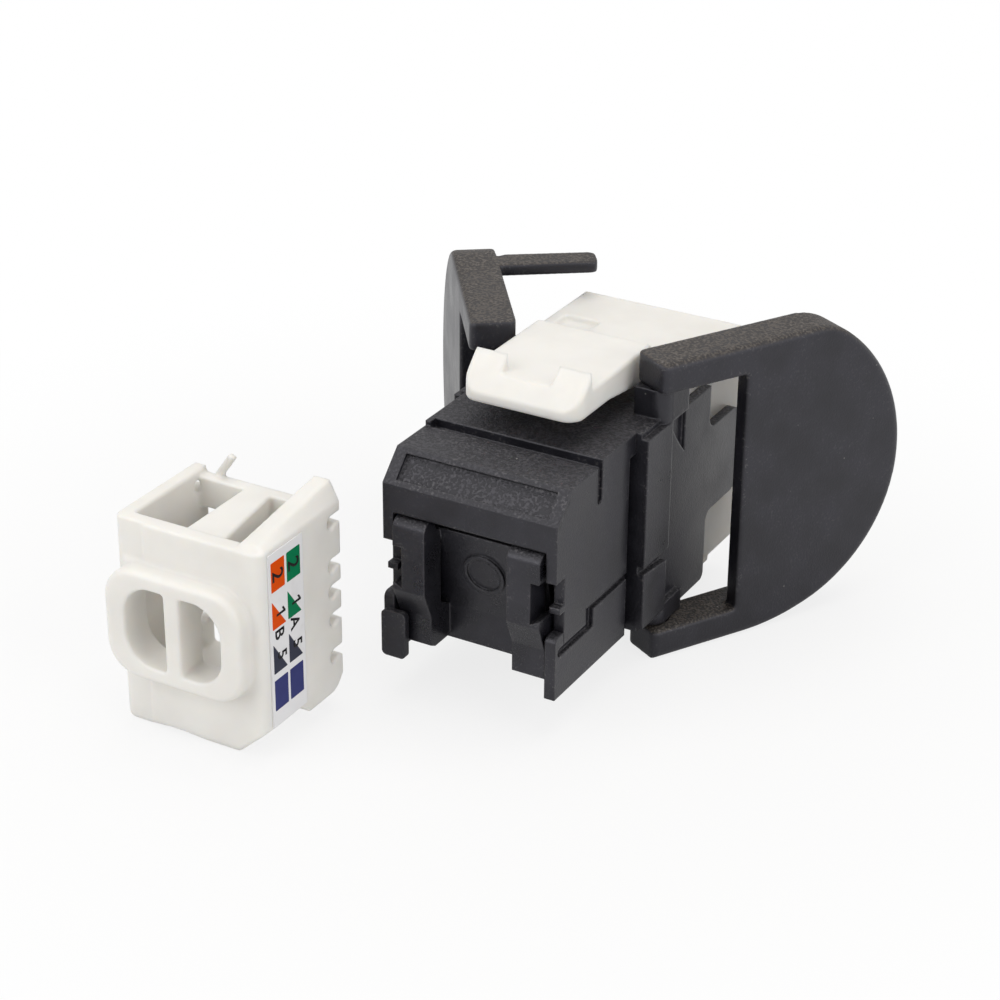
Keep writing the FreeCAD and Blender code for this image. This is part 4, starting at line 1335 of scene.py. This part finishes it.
@dataclass(frozen=True)
class StudioFloor(Finish):
    """White paper under the part, which keeps its shadow and fades into the white around it."""

    name: str = "floor_paper"
    colour: Colour = (0.8, 0.8, 0.8)
    roughness: float = 0.9
    gloss: float = 0.1
    grain_size: float = 0.6 * MM
    grain_shades: Band = (0.985, 1.0)
    glow: float = 0.8
    mirror_glow: float = 0.25
    fade_start: float = 0.02
    fade_end: float = 0.075

    def paint(self, sheet: ShaderSheet) -> None:
        """Lay out the paper's grain and the fade to white.

        Args:
            sheet: The sheet of nodes.
        """
        place = sheet.place()
        grain = sheet.noise(place, self.grain_size)
        paper = sheet.read(
            "ShaderNodeBsdfPrincipled",
            {},
            {
                "Base Color": sheet.shade(grain, self.colour, self.grain_shades),
                "Roughness": self.roughness,
                "Specular IOR Level": self.gloss,
            },
            "BSDF",
        )
        white = sheet.read("ShaderNodeEmission", {}, {"Color": PLAIN_WHITE, "Strength": 1.0})
        reach = sheet.read("ShaderNodeVectorMath", {"operation": "LENGTH"}, {0: place}, "Value")
        fade = reach.rise(self.fade_start, self.fade_end)
        seen = sheet.ray("Camera") * (self.glow + (1.0 - self.glow) * fade)
        mirrored = sheet.mirrored() * (self.mirror_glow + (1.0 - self.mirror_glow) * fade)
        shown = sheet.read("ShaderNodeMixShader", {}, {0: seen + mirrored, 1: paper, 2: white})
        sheet.node("ShaderNodeOutputMaterial", {}, {"Surface": shown})


@dataclass(frozen=True)
class Lamp:
    """A soft square lamp: where it stands, its side, its power and its colour."""

    name: str
    stand: Place
    side: float
    power: float
    colour: Colour = PLAIN_WHITE


@dataclass
class Studio:
    """Floor, soft light and camera around the part."""

    floor_level: float = -3.4 * MM
    floor_radius: float = 1.5
    floor_rings: int = 6
    floor_sides: int = 72
    middle: Place = (-0.0044394, 0.0124657, 0.008)
    sky_strength: float = 0.4
    azimuth: float = 29.4458
    elevation: float = 26.8526
    roll: float = 0.4413
    distance: float = 0.1973873
    lens: float = 91.966
    near_limit: float = 0.01
    far_limit: float = 10.0
    lamps: tuple[Lamp, ...] = (
        Lamp("overhead_lamp", (0.02, 0.12, 0.62), 0.5, 1.75, (1.0, 0.97, 0.925)),
        Lamp("front_left_lamp", (-0.3, -0.46, 0.36), 0.56, 2.0),
        Lamp("right_lamp", (0.56, -0.12, 0.3), 0.4, 1.15),
    )

    def build(self) -> None:
        """Set up the floor, the sky, the lamps and the camera."""
        self._lay_floor()
        self._paint_sky()
        for lamp in self.lamps:
            self._hang(lamp)
        self._aim_camera()
        bpy.context.scene.view_settings.view_transform = "Standard"

    def _lay_floor(self) -> None:
        """Lay a round sheet of paper under the part, in rings that widen outwards."""
        shape = bmesh.new()
        rings = []
        for ring in range(1, self.floor_rings + 1):
            radius = self.floor_radius * (ring / self.floor_rings) ** 2
            turns = (math.tau * side / self.floor_sides for side in range(self.floor_sides))
            corners = [(radius * math.cos(turn), radius * math.sin(turn), 0.0) for turn in turns]
            rings.append([shape.verts.new(corner) for corner in corners])
        shape.faces.new(rings[0])
        for inner, outer in zip(rings, rings[1:]):
            for side, corner in enumerate(inner):
                following = (side + 1) % self.floor_sides
                shape.faces.new((corner, outer[side], outer[following], inner[following]))
        mesh = bpy.data.meshes.new("floor")
        shape.to_mesh(mesh)
        shape.free()
        mesh.materials.append(StudioFloor().material())
        floor = bpy.data.objects.new("floor", mesh)
        floor.location = (self.middle[0], self.middle[1], self.floor_level)
        bpy.context.scene.collection.objects.link(floor)
        LOG.info("floor laid")

    def _paint_sky(self) -> None:
        """Make the surroundings white to look at and dimmer as a light."""
        sky = bpy.data.worlds.new("studio_white")
        bpy.context.scene.world = sky
        sheet = ShaderSheet(sky)
        shown = sheet.ray("Camera").at_least(sheet.mirrored())
        strength = self.sky_strength + (1.0 - self.sky_strength) * shown
        sockets = {"Color": PLAIN_WHITE, "Strength": strength}
        glow = sheet.read("ShaderNodeBackground", {}, sockets)
        sheet.node("ShaderNodeOutputWorld", {}, {"Surface": glow})

    def _hang(self, lamp: Lamp) -> None:
        """Hang one lamp and turn it to the part.

        Args:
            lamp: The lamp.
        """
        light = bpy.data.lights.new(lamp.name, "AREA")
        light.shape = "SQUARE"
        light.size = lamp.side
        light.energy = lamp.power
        light.color = lamp.colour
        holder = bpy.data.objects.new(lamp.name, light)
        holder.location = lamp.stand
        holder.rotation_mode = "QUATERNION"
        aim = Vector(self.middle) - Vector(lamp.stand)
        holder.rotation_quaternion = aim.to_track_quat("-Z", "Y")
        bpy.context.scene.collection.objects.link(holder)

    def _aim_camera(self) -> None:
        """Put the camera where the part is seen from."""
        turn, lift = math.radians(self.azimuth), math.radians(self.elevation)
        level = math.cos(lift)
        back = Vector((math.sin(turn) * level, -math.cos(turn) * level, math.sin(lift)))
        camera = bpy.data.cameras.new("camera")
        camera.lens = self.lens
        camera.clip_start = self.near_limit
        camera.clip_end = self.far_limit
        holder = bpy.data.objects.new("camera", camera)
        holder.location = Vector(self.middle) + back * self.distance
        holder.rotation_mode = "QUATERNION"
        tilt = Quaternion((0.0, 0.0, 1.0), math.radians(self.roll))
        holder.rotation_quaternion = (-back).to_track_quat("-Z", "Y") @ tilt
        bpy.context.scene.collection.objects.link(holder)
        bpy.context.scene.camera = holder


def main() -> None:
    """Load the part, dress its sub-assemblies in order and set up the studio."""
    logging.basicConfig(level=logging.INFO, format="%(name)s: %(message)s")
    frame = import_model()
    bench = Bench(frame["nodes"])
    for assembly in (
        PortHousing(),
        PortShutter(),
        ContactSet(),
        TerminalSet(),
        RearBay(),
        SqueezeLevers(),
        WireManager(),
        WiringLabel(),
    ):
        assembly.build(bench)
    Studio().build()


if __name__ == "__main__":
    main()
